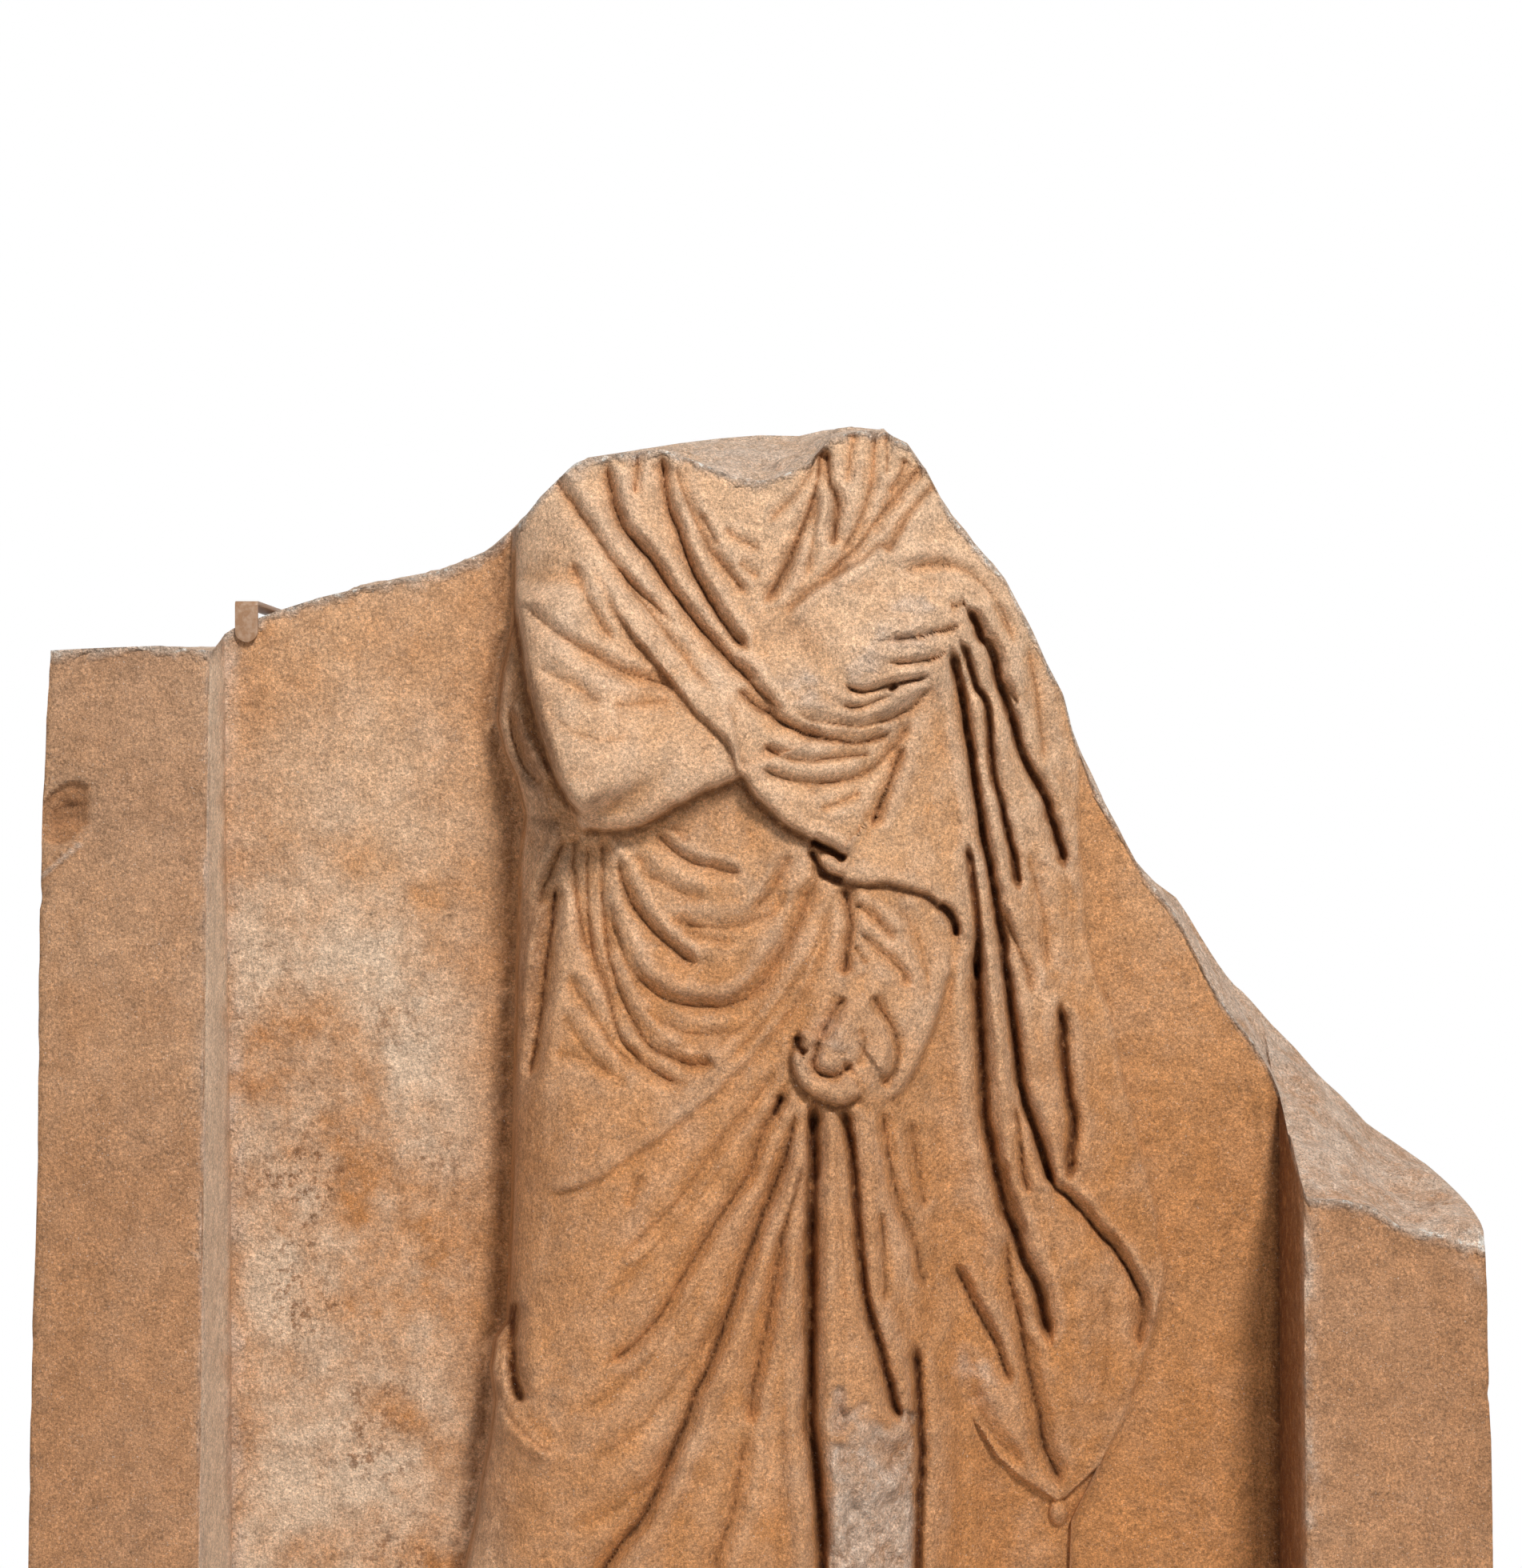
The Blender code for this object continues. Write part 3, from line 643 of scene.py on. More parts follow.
@dataclass(frozen=True)
class Figure:
    """The draped figure: its contours, its masses and the folds of its cloth."""

    slab: Slab = Slab()
    contour_drop: float = 0.058
    cloth_step: float = 0.008
    hem_thickness: float = 0.007
    side_slope: float = 6.0
    bed_run: float = 25.0
    contour_left: Points = (
        (66, 64.5), (78, 64.4), (84, 63), (90, 62.5), (94, 63.4), (97, 64.8), (102, 66), (105, 65.5),
        (120, 65), (150, 64.4), (160, 64), (165, 63.8), (167.5, 62.2), (171, 61.7), (175, 62.2),
        (180, 61.6), (185, 60.6),
        (190, 59.8), (196, 58.5), (206, 58), (218, 60), (232, 65), (247, 67),
    )
    guide_middle: Points = (
        (54, 97), (75, 95), (98, 93.2), (107, 102), (121, 101), (139, 101.8), (150, 101.5), (180, 101.5),
        (196, 102.2), (247, 102),
    )
    guide_cloth: Points = (
        (63, 118.2), (80, 119.3), (90, 120.5), (105, 121), (128, 122.6), (139, 123.3), (147, 125),
        (157, 128), (169, 131.5), (180, 129.5), (190, 124.5), (247, 122.5),
    )
    contour_right: Points = (
        (92, 134.5), (100, 134.6), (110, 135), (117, 135.4), (121, 136.5), (127, 138.6), (135, 140.2),
        (143, 142.2), (150, 144), (159, 145.5), (164, 144.7), (168, 143.5), (175, 141.2), (183, 137.5),
        (190, 134), (247, 132),
    )
    body_right: Points = (
        (63, 118), (80, 119.4), (118, 119.5), (130, 118), (142, 117.6), (160, 119), (175, 120.4), (247, 121),
    )
    tail_hem: Points = (
        (121, 176), (124.5, 182), (127.5, 184.6), (132, 187.5), (133.3, 187.2), (137.5, 183.2), (141, 176),
    )
    front: Points = (
        (54, -24), (62, -13), (72, -6), (86, -2), (100, -4), (112, -11), (126, -5), (142, 0), (162, 3),
        (182, 0), (202, -5), (226, -12), (247, -16),
    )
    border: Points = (
        (60, -38), (76, -27), (92, -33), (112, -40), (132, -50), (152, -61), (172, -74), (188, -86),
        (247, -90),
    )
    tassel: Mass = Mass(132.4, 189, 1.3, 1.9, 0, 8, 0.7)
    masses: tuple[Mass, ...] = (
        Mass(73, 82, 11, 25, 4, 13),
        Mass(78, 95, 16, 11, -12, 15),
        Mass(96, 90, 27, 11, -20, 13),
        Mass(113, 80.5, 13, 10, -12, 15),
        Mass(111, 64, 14, 12, -35, 8),
        Mass(90, 112, 17, 14, 0, 7),
        Mass(79, 166, 20, 50, 4, 14),
        Mass(110, 122, 11.5, 20, 0, 14),
        Mass(106, 131, 9, 9, 0, 12),
        Mass(108, 172, 7, 46, 0, 11),
        Mass(79, 243, 9, 11, 0, 32),
        Mass(104, 243, 10, 11, 0, 36),
    )
    # Painted shade with dirt along the figure's left contour, which faces away from the light, and a faint
    # patch over the thigh.
    shade_and_stains: tuple[Mass, ...] = (
        Mass(66.5, 92, 4.2, 15, -12, 0.75, 0.8),
        Mass(66.5, 78, 3.5, 16, 0, 0.35, 0.8),
        Mass(69, 103.5, 5, 4.5, 0, 0.6, 0.8),
        Mass(67, 119, 4.2, 17, 6, 0.62, 0.8),
        Mass(66.5, 140, 3.2, 20, 0, 0.5, 0.8),
        Mass(65, 166, 3.4, 14, 0, 0.42, 0.8),
        Mass(62, 190, 5, 12, 0, 0.5, 0.8),
        Mass(73, 107, 4.5, 7, 0, 0.4, 0.8),
        Mass(92, 148, 15, 9, -58, 0.22, 0.8),
    )
    bruises: tuple[Mass, ...] = (
        Mass(112, 80, 6, 3, -10, 1.1, 1.0),
        Mass(108.5, 82, 2.6, 4.6, 20, 1.2, 1.0),
        Mass(101, 86.2, 4.5, 2.6, 20, 0.9, 1.0),
        Mass(115, 75.2, 4.5, 1.6, -8, 1.2, 1.0),
        Mass(71, 59.5, 3, 2.4, 0, 0.5, 1.0),
        Mass(104, 130, 3, 5, 10, 0.5, 1.0),
        Mass(122, 172, 3, 5, -30, 0.5, 1.0),
    )

    def chest(self) -> tuple[Fold, ...]:
        """Folds from both shoulders down to the point of the neckline.

        Returns:
            The strokes, in carving order.
        """
        return (
            valley(0.55, 5.5, (68, 57.5), (70.2, 60.9), (72, 63.6), (74.1, 66.5), (76, 69.4), (77.8, 71.7),
                   (79.9, 74), (82, 75.8), (84, 77.7), (85.3, 78.5), lean=0.7, patina_and_shade=0.5),
            valley(0.6, 8.5, (75.8, 57), (76.1, 60.1), (76.6, 62), (77, 64), (77.8, 65.7), (79.1, 67.6),
                   (80.7, 69.2), (82.4, 71.7), (83.8, 73.8), (85.3, 75.6), (87, 77.9), (89, 80.2),
                   (90.9, 82.3), (92.8, 84.1), (94.8, 86.4), (96.5, 87.9), (98.6, 88.9), lean=0.8, patina_and_shade=0.7,
                   runout=0.08),
            valley(0.4, 4, (80, 55.5), (79.7, 58.2), (79.4, 60.3), (79.6, 62.4)),
            valley(0.55, 8.5, (82.6, 56.5), (83, 59.7), (83.6, 63.2), (84.5, 65.7), (85.5, 68.6),
                   (86.5, 71.1), (87.8, 73.6), (89, 75.6), (90.3, 77.7), (91.7, 79.6), (93.2, 81),
                   (94.2, 81.6), lean=0.8, patina_and_shade=0.7, runout=0.08),
            valley(0.5, 4.5, (84.4, 57.5), (85.1, 60.3), (86.5, 64), (87.6, 66.5), (89, 69), (90.3, 70.7),
                   (91.9, 72.7), (93, 74), (93.7, 75), lean=0.6, patina_and_shade=0.5, runout=0.1),
            valley(0.4, 2.5, (87.4, 64), (88.6, 66.1), (90, 68.4)),
            valley(0.4, 2.5, (90.5, 65.7), (91.5, 66.9), (93.2, 67.8), (95.2, 69)),
            valley(0.4, 2.5, (92.3, 70.2), (93.8, 71.5), (95, 72.3)),
            valley(0.4, 3, (102, 57), (101.5, 59.1), (100, 61.1), (98.6, 62.8), (97.1, 64.4), (95.7, 65.9)),
            valley(0.5, 7, (102.9, 55), (102.5, 58.2), (101.9, 61.5), (101.1, 64.4), (100, 66.9), (98.8, 70),
                   (97.9, 71.9), (96.7, 74), (95.2, 75.8), lean=0.6, patina_and_shade=0.7, runout=0.1),
            valley(0.4, 3.5, (102.7, 61.1), (102.1, 64), (101.9, 66.5), (101.3, 69.8), (100.8, 72.7)),
            valley(0.5, 7, (103.4, 55.5), (103.7, 59.9), (104.4, 62), (104.7, 64), (104.4, 66.5), (104.2, 69),
                   lean=-0.5, patina_and_shade=0.8, runout=0.12),
            valley(0.4, 3, (107, 53.5), (106.2, 58.2), (105.8, 61)),
            valley(0.5, 5, (109.5, 52.5), (109.3, 57.8), (108.7, 61.1), (108.1, 63.6), (107.3, 65.7),
                   (106, 67.8), (105, 69.8), lean=0.5, runout=0.12),
            valley(0.45, 4, (110.6, 52.5), (111, 57.4), (110.8, 59.9)),
            valley(0.55, 5.5, (116.5, 57), (113.5, 60.3), (111.8, 62.4), (110.2, 64.4), (108.5, 66.5),
                   (107.3, 68.2), (105.6, 69.8), (104, 71.5), (101.9, 72.7), lean=0.6, patina_and_shade=0.5),
            valley(0.45, 4, (113.2, 57), (112.4, 60), (111.2, 62)),
            edge(8, 6.5, (118.5, 59), (117, 61.1), (115.1, 63.2), (113.5, 65.3), (112.4, 67.3), (111.4, 69),
                 (110, 68.6), (108.1, 70.2), (106, 71.5), (104.6, 72.3), (102.3, 73.6), (100.4, 75.2),
                 (99, 76.5), (97.7, 77.7), patina_and_shade=0.6),
        )

    def sling(self) -> tuple[Fold, ...]:
        """The cloth that carries the bent arm, and its folds under the forearm and hand.

        Returns:
            The strokes, in carving order.
        """
        return (
            edge(6, 8, (73.5, 68.5), (76, 73.6), (77.4, 76.5), (79.1, 79), (80.7, 81), (82.4, 83.1),
                 (84, 85.2), (85.7, 87.2), (87.3, 89.1), (89, 90.6), (90.7, 92.2), (91.7, 93.9), (92.3, 95.5),
                 (92.9, 97), (94.4, 99.3), (96.1, 100.9), (97.7, 102.4), (99.4, 103.6), (101.5, 104.7),
                 (103.1, 105.5), (104.8, 106.5), (106.2, 107.5), patina_and_shade=0.7, runout=0.24),
            valley(0.45, 4, (71.2, 69.6), (72.8, 73.5), (74.3, 76.5), (75.5, 78.5), (77, 80.6), lean=0.6),
            valley(0.5, 3.5, (76.5, 70.5), (79.9, 74.8), (82, 77.3), (84.4, 80.6), (87, 84), (89.5, 87),
                   lean=0.6),
            ridge(1.3, 2.5, (82, 79), (85.3, 83.2), (88.6, 87.2), (91.2, 91), (93, 95)),
            valley(0.6, 7, (91.6, 85.6), (94.4, 88.1), (96.5, 89.5), (98.6, 90.8), (100.6, 91.8),
                   (103.1, 92.4), (105.6, 92.8), (108.1, 92.8), (110.2, 92.2), (112.2, 90.8), lean=0.8,
                   patina_and_shade=0.8, runout=0.1),
            valley(0.5, 5, (98, 88), (101.5, 89.9), (104.8, 90.6), (107.7, 90.8), (109.3, 90.4),
                   (111.4, 89.9), (113.9, 88.5), (116, 86.4), (117, 84.5), lean=0.8, patina_and_shade=0.5),
            valley(0.5, 5, (95.4, 92.8), (96.4, 93.9), (97.7, 94.5), (99.8, 95.1), (101.9, 95.2),
                   (104.4, 94.9), (106.9, 94.5), (109.3, 94.3), lean=0.8, patina_and_shade=0.5, runout=0.08),
            valley(0.6, 5.5, (94.4, 95.5), (96.5, 96.8), (99, 97.6), (101.9, 98), (104.8, 97.8), (107.3, 97),
                   (109.3, 95.9), (111, 94.3), (112.7, 92.2), (114.3, 89.7), lean=0.7, patina_and_shade=0.5,
                   runout=0.1),
            valley(0.4, 3.5, (102.3, 101.3), (104.4, 100.5), (106.4, 99.7), (108.1, 99), lean=-0.4),
            valley(0.55, 7, (113.5, 93), (112.2, 95.1), (111.4, 97.2), (110.4, 99.7), (109.5, 102.2),
                   (108.8, 104), lean=0.4, patina_and_shade=0.8),
            ridge(1.2, 2.5, (116.2, 88), (114, 92), (111.8, 98), (110.6, 103)),
            edge(9, 14, (72.4, 103.9), (73.7, 103.4), (75.3, 103.6), (77.8, 103.6), (79.9, 103.2),
                 (82, 102.2), (84, 100.9), (86.5, 99.7), (88.6, 98.6), (90.7, 97.8), (92.3, 97.4),
                 (93.3, 97.2), patina_and_shade=0.9, runout=0.04),
            edge(9, 8, (92.3, 95.5), (92.9, 97), (94.4, 99.3), (96.1, 100.9), (97.7, 102.4), (99.4, 103.6),
                 (101.5, 104.7), (103.1, 105.5), (104.8, 106.5), (106.2, 107.5), patina_and_shade=1.0, runout=0.1),
            drilled(0.5, 7, (101.4, 104.8), (103, 105.8), (104.8, 106.8), (106, 107.5), lean=0.8),
            edge(7, 8, (101.5, 106.2), (102.3, 108.1), (103.5, 109.1), (105.6, 110), (108.1, 110.4),
                 (111, 110.4), (113.9, 111.1), (116, 111.7), (117.6, 112.9), (118.9, 114.1), (119.7, 115.8),
                 (119.9, 118.4), patina_and_shade=1.0, runout=0.12),
            drilled(0.45, 5, (101.3, 106), (102.3, 108.1), (103.5, 109.2), (105.8, 110.1), lean=0.6),
            drilled(0.45, 5, (117.4, 112.7), (118.8, 114), (119.6, 115.6), (119.5, 117.2)),
        )

    def arm(self) -> tuple[Fold, ...]:
        """The bent arm in front of the cloth that hangs behind it.

        Returns:
            The strokes, in carving order.
        """
        return (
            edge(9, 26, (64.3, 72), (64.5, 76), (65.2, 79.4), (65.8, 83.5), (66.6, 87.2), (67.7, 91.4),
                 (68.7, 94.3), (69.5, 96.8), (70.8, 99.3), (72.2, 100.9), (73.7, 103.2), patina_and_shade=1.0,
                 runout=0.1),
            ridge(0.9, 6, (64, 81), (62.9, 86), (63, 91), (64.2, 95.5), (66.2, 98.9), (68.4, 99.8)),
            ridge(0.7, 5, (64.4, 86.4), (65.4, 91.4), (67.4, 95.1), (69.4, 98)),
            valley(0.4, 5, (63.6, 88), (64.3, 92.5), (66, 96.4), (68.2, 98.6), patina_and_shade=0.8),
            ridge(1.1, 7, (65.2, 100.9), (66.2, 102.6), (68.3, 103.8), (70.5, 103.4)),
            valley(0.5, 4, (64.8, 75.2), (67.5, 77.3), (69.7, 79.2), (71.6, 80.4), (73.7, 81.6), (75.8, 82.9),
                   (77.8, 83.9), (80.3, 84.8), (82.6, 85.4), (84.9, 85.8), lean=0.5, patina_and_shade=0.5, runout=0.1),
            valley(0.6, 2.8, (66.6, 82.7), (69.1, 84.3), (71.6, 85.6), (74.1, 87.2), (75.8, 88.3), lean=0.5),
            valley(0.6, 2.2, (76.2, 88.3), (78.7, 88.1), (81.6, 87.7), (84.5, 87.6)),
            valley(0.7, 1.6, (68, 88.5), (71, 91), (75, 92.5), (80, 92)),
            ridge(1.0, 1.6, (66, 79), (70, 82), (75, 85), (80, 86.4)),
        )

    def hand(self) -> tuple[Fold, ...]:
        """The fingers that hold the cloth at the shoulder, and the roll over it.

        Returns:
            The strokes, in carving order.
        """
        return (
            ridge(1.2, 3.5, (106, 78.6), (111, 78), (115.5, 77.4), (120.2, 76), runout=0.3),
            ridge(1.1, 2.8, (107, 81.6), (112, 81.2), (116, 80.8), (119, 79.6), runout=0.3),
            ridge(1.0, 2.6, (106, 84.2), (110.5, 84.2), (115, 83.9), (117.6, 82.9), runout=0.3),
            ridge(0.9, 2.2, (104, 87.2), (108, 87.3), (112, 86.2)),
            valley(0.3, 4, (109.5, 80.2), (113, 79.9), (116, 79.3), (119, 78.6), (121.5, 77.7), patina_and_shade=0.7,
                   lean=0.5, runout=0.25),
            valley(0.3, 4, (110.4, 82.8), (113.5, 82.9), (116.5, 82.5), (118.2, 81.6), (119.5, 80.7),
                   patina_and_shade=0.7, lean=0.5, runout=0.25),
            valley(0.35, 5, (105.3, 85.2), (106.6, 86.2), (108.1, 86.6), (110.2, 86), (112.4, 85.3),
                   (114.6, 85), (116.8, 84.3), patina_and_shade=0.9, lean=0.4, runout=0.16),
            valley(0.35, 3.5, (104.8, 88.2), (107.3, 88.4), (109.6, 87.7), (112, 86.6), patina_and_shade=0.5,
                   runout=0.2),
            drilled(0.35, 4, (111.3, 86.4), (112.1, 85.6)),
            valley(0.45, 4, (118.7, 75.9), (120.9, 75.4), patina_and_shade=0.6),
            ridge(1.5, 5, (110, 70), (115, 69), (117.9, 69.1), (121.1, 70.1), (123.2, 71.6), (125.4, 74.4),
                  (126.8, 76.9), (128.2, 79.4)),
            ridge(1.2, 4, (115, 71.8), (119, 71.6), (122, 73), (124.3, 76), (126.3, 80), (127.3, 84),
                  (128, 88)),
            valley(0.5, 3, (112, 71.6), (116, 70.6), (120, 71), (123, 73.2), (125.2, 76.2), (127, 80.7)),
        )

    def falling_cloth(self) -> tuple[Fold, ...]:
        """The cloth that falls from the far shoulder, cut by drilled channels, down to its tasselled corner.

        Returns:
            The strokes, in carving order.
        """
        return (
            drilled(0.6, 13, (119, 80.6), (119.5, 83.7), (120, 85.9), (120.5, 88.4), (120.8, 90.9),
                    (121.3, 93), (121.6, 95.5), (122.1, 98.7), (122.6, 101.9), (123, 105.1), (123.6, 107.6),
                    (124.1, 110.5), (124.6, 113.7), (125.2, 116.9), (125.5, 120.1), (125.9, 122.6),
                    (126.3, 125.8), (127, 130.5), (127.5, 135.2), (128.6, 139), (129.8, 142.3),
                    (130.8, 145.6), (131.6, 147.7), (132.4, 148.6), runout=0.03),
            valley(0.55, 9, (131.2, 146.6), (131.8, 148), (133.6, 149.8), (135.5, 151.7), (137.4, 154.1),
                   (139.2, 156), (140.7, 158.3), (142.1, 160.7), (142.8, 163.5), (142.5, 167.3),
                   (142.3, 169.6), lean=0.7, patina_and_shade=0.9, runout=0.12),
            drilled(0.5, 9, (120, 79.6), (120.9, 81.9), (121.4, 83.7), (122.1, 85.9), (123.2, 87.6),
                    (123.6, 89.4), (123.8, 92.3), (123.9, 95.5), (124.5, 98.4), (125.2, 100.5), (125.7, 103),
                    (126.4, 105.9), (127, 109.1), (127.6, 111.8), runout=0.06),
            drilled(0.6, 11, (120.6, 75.4), (122.1, 78), (122.7, 79.8), (123.6, 80.5), (124.3, 82.6),
                    (124.8, 85.1), (125.7, 87.6), (126.6, 90.1), (127.3, 93), (128.4, 95.5), (129.5, 97.6),
                    (130.7, 99.8), (131.4, 102.3), (132.3, 105.1), (132.7, 106.6), (133.2, 109.1),
                    runout=0.06),
            valley(0.6, 3.5, (125, 85.1), (126.4, 86.6), (127.5, 88)),
            valley(0.45, 3, (123.9, 75.1), (125.7, 78), (127, 80.7)),
            valley(0.6, 3.5, (128.4, 80), (129.2, 84), (129.7, 87), (130, 90.1), (130.4, 93), (130.7, 96.2),
                   patina_and_shade=0.5),
            valley(0.5, 5, (125.2, 113), (126.3, 116.2), (127.5, 119.1), (128.6, 121.6), (129.1, 124.7),
                   lean=0.4, patina_and_shade=0.6),
            valley(0.6, 4, (128.4, 106), (129.6, 110.9), (130.4, 113.7), (130.8, 118), (131, 122)),
            drilled(0.55, 8, (120.9, 104.9), (121.3, 108), (121.6, 110.1), (122, 112.6), (122.3, 115.5),
                    (122.3, 119.4), (122.1, 123), runout=0.12),
            drilled(0.7, 12, (122.2, 117), (122.2, 122), (122.4, 126.7), (122.7, 131.4), (123, 138),
                    (123.4, 140.9), (124.2, 144.6), (124.9, 148.4), (125.6, 151.2), (127, 154.5),
                    (128.2, 157.8), (129.6, 160.7), (130.5, 164.5), (131.2, 167.3), (131.8, 169.2),
                    runout=0.08),
            valley(0.5, 5, (125.1, 144.6), (126.5, 150.3), (127.9, 155)),
            drilled(0.6, 9, (132.5, 124.5), (132.7, 127), (132.9, 129.1), (133.1, 132.8), (133.6, 137.1),
                    (134.2, 140.4), (133.8, 144.2), (133.8, 148.4), runout=0.12),
            valley(0.5, 6, (127, 137.5), (127.5, 142.3), (127.9, 146.5), (128.9, 149.8), patina_and_shade=0.8),
            valley(0.7, 8, (125.7, 154), (126.3, 158.8), (126.5, 161.6), (127.5, 165.4), (128.4, 170.1),
                   (129.1, 173.9), (130, 177.2), (130.5, 180.5), (132.2, 184.7), (132.6, 186.6), patina_and_shade=0.9,
                   runout=0.08),
            valley(0.5, 6.5, (119.2, 157.6), (121.1, 161.6), (122.5, 164.5), (124.2, 167.3), (125.6, 171.1),
                   (126.6, 173.6), lean=0.5, patina_and_shade=0.8, runout=0.1),
            valley(0.6, 3.5, (121.5, 173), (123, 177.5), (125.5, 181), (128.5, 183.5)),
            ridge(1.3, 3, (120.5, 166), (123, 172), (126.5, 178), (129, 182)),
            ridge(1.2, 2.5, (135, 158), (135.5, 168), (134.5, 178)),
            valley(0.9, 2, (138, 160), (138.6, 168), (137.5, 176)),
        )

    def belly(self) -> tuple[Fold, ...]:
        """The hanging curves over the belly and the hip.

        Returns:
            The strokes, in carving order.
        """
        return (
            valley(0.5, 4.5, (82.2, 103.6), (82.7, 104.8), (84, 106.2), (86.5, 107.9), (89, 108.5),
                   (91.5, 109), (93.2, 109), lean=0.6, patina_and_shade=0.5, runout=0.12),
            valley(0.4, 2.5, (84.2, 103), (85, 104.2), (85.9, 105.4)),
            valley(0.5, 4, (99, 106.4), (97.7, 109.1), (96.5, 111.6), (95, 112.9), (93.6, 113.7), lean=-0.5,
                   patina_and_shade=0.5),
            valley(0.6, 6, (77.3, 106.5), (77.8, 110), (78.9, 112.9), (80.3, 114.9), (82.4, 117.2),
                   (84.5, 118.9), (85.9, 119.9), (88, 120.6), lean=0.7, patina_and_shade=0.7, runout=0.12),
            valley(0.6, 3, (79.5, 106), (80.7, 109.1), (83.2, 110.4), (85.7, 111.8), (89, 112.4), lean=0.4),
            valley(0.7, 4, (83, 113.6), (84.9, 115.3), (89, 116), (92.3, 115.8), (95.2, 114.7), (96.9, 113.7),
                   (99, 110.5), lean=0.6),
            valley(0.45, 2.5, (85, 115.8), (86.5, 116.6), (89, 117.4), (92.3, 117.8)),
            valley(0.7, 6, (75.9, 112), (77.4, 117.8), (79.5, 122), (83.2, 124.9), (86.5, 125.7),
                   (89.9, 125.9), (93.2, 124.9), (95.7, 122.6), (97.3, 119.9), (98.6, 117.8), (99.8, 115.3),
                   (100.8, 112.9), (101.9, 110.4), (102.6, 108), lean=0.6, patina_and_shade=0.45, runout=0.1),
            ridge(1.1, 2.5, (78.5, 118), (81.5, 122), (86, 124), (91, 123.8), (94.5, 121.4)),
            valley(0.6, 7, (75.5, 104), (75.3, 108.3), (75.3, 111.6), (75.8, 116.6), (76.4, 120.7),
                   (77.8, 124.9), (79.5, 128.2), (81.1, 130.7), (83.2, 131.9), (85.7, 133), (88.6, 133.2),
                   (89.8, 134.1), lean=0.6, patina_and_shade=0.6, runout=0.06),
            valley(0.6, 6, (73.7, 104), (73.5, 108.3), (73.5, 112.4), (73.7, 116.6), (74.3, 119.9),
                   (75.3, 122), (76.2, 124.9), (77, 128.2), (78.2, 130.7), (80.7, 133.2), (83.2, 134.8),
                   (86.5, 135.7), lean=0.5, patina_and_shade=0.6, runout=0.08),
            valley(0.5, 5, (72, 103.8), (71.8, 107.5), (72.2, 112.4), (72.9, 116.6), (74.1, 119.9), lean=0.3,
                   patina_and_shade=0.6, runout=0.1),
            valley(0.6, 4, (70.8, 121.1), (72, 123.6), (73.7, 126.1), (75.3, 128.6), (77.4, 131.5),
                   (80.7, 134), lean=0.6, patina_and_shade=0.5),
            valley(0.7, 2.5, (70.2, 126.1), (71.6, 129), (73.7, 131.9), (76.6, 134.8), lean=0.5),
            valley(0.7, 4, (79.9, 124.9), (81.6, 126.9), (84.5, 128.6), (87.4, 129.4), (90.7, 129),
                   (93.2, 128), (96, 124.5), lean=0.5),
            valley(0.6, 2.5, (80.5, 128), (83, 130), (86, 131), (89.5, 131.2)),
            ridge(1.2, 3, (100.4, 120), (98.2, 123.6), (95.5, 127), (92, 130.5), (88, 134.6), (84, 138)),
            valley(0.6, 3.5, (104.4, 111.5), (103, 116), (101.2, 120), (98.8, 123.8), (96, 127.4),
                   (93, 130.8), (90, 133.8), lean=-0.4),
            valley(0.6, 8, (69.9, 109.5), (69.3, 113.5), (68.9, 116.6), (68.3, 120.7), (67.7, 125.7),
                   (67, 130.7), (66.2, 135.7), patina_and_shade=1.0, runout=0.1),
            ridge(0.8, 6, (68.4, 111.5), (66.7, 116), (65.9, 121), (65.7, 126.5), (66, 130)),
            ridge(0.8, 5, (70.4, 103.6), (68, 107), (66.7, 110.6), (66, 114)),
            valley(0.45, 5, (70.9, 104.6), (69.2, 108.3), (68, 111.4), (67.2, 114), patina_and_shade=0.8),
            valley(0.7, 2.5, (68.5, 131.5), (72, 132), (76, 134), (79, 136)),
        )

    def sleeve(self) -> tuple[Fold, ...]:
        """The lowered arm in its pouch of cloth, and the cloth rolled round its hand.

        Returns:
            The strokes, in carving order.
        """
        return (
            edge(6, 11, (108.5, 137.9), (110.6, 137.5), (112.7, 136.5), (114.3, 134), (115.6, 131.1),
                 (116.8, 128.2), (118, 124), (118.9, 120.7), (119.5, 116.4), patina_and_shade=0.4, runout=0.3),
            edge(4.5, 10, (100.6, 128.4), (99.9, 130.2), (99.2, 132.8), (99.6, 134.4), (100.8, 136.1),
                 (102.7, 137.3), (105.2, 137.9), (106.8, 137.3), (108.1, 136.5), patina_and_shade=0.9, runout=0.06),
            valley(0.55, 7.5, (105.8, 110.4), (106.1, 113.3), (106.4, 115.8), (106, 118.2), (105.8, 120.7),
                   (105.6, 122.4), lean=0.3, patina_and_shade=0.8, runout=0.1),
            valley(0.5, 4.5, (106.6, 112.7), (108.9, 114.5), (110.6, 116.2), (112.2, 117.8), lean=0.5,
                   patina_and_shade=0.5),
            valley(0.5, 4.5, (107.1, 116.4), (109.3, 118.2), (111.4, 119.9), (113, 122), (113.9, 123.8),
                   lean=0.5, patina_and_shade=0.5),
            valley(0.4, 3, (106.8, 118.2), (108.5, 120.7)),
            valley(0.5, 2.5, (112, 112.5), (114.5, 116.5), (116, 121.5), (116, 126)),
            valley(0.5, 6.5, (106.2, 124.6), (104.8, 125.7), (103.5, 128.2), (102.3, 130.7), (101.7, 132.8),
                   (102.3, 134), (103.9, 134.6), (105.2, 134.2), (107, 132.6), lean=0.5, patina_and_shade=0.7,
                   runout=0.08),
            valley(0.5, 6, (108.9, 124.2), (110.6, 126.9), (111.8, 129), (112.3, 131.1), (111.8, 134),
                   (110, 136), lean=-0.4, patina_and_shade=0.7, runout=0.08),
            valley(0.42, 3, (107.3, 128.2), (108.1, 130.3), (107.7, 132.3), (106.8, 133.6)),
            drilled(0.5, 6, (100, 129.4), (99.9, 130.8), (100.9, 131.8)),
            ridge(1.0, 4, (108.4, 124), (107, 126.5), (105.6, 129), (104.8, 131.6)),
        )

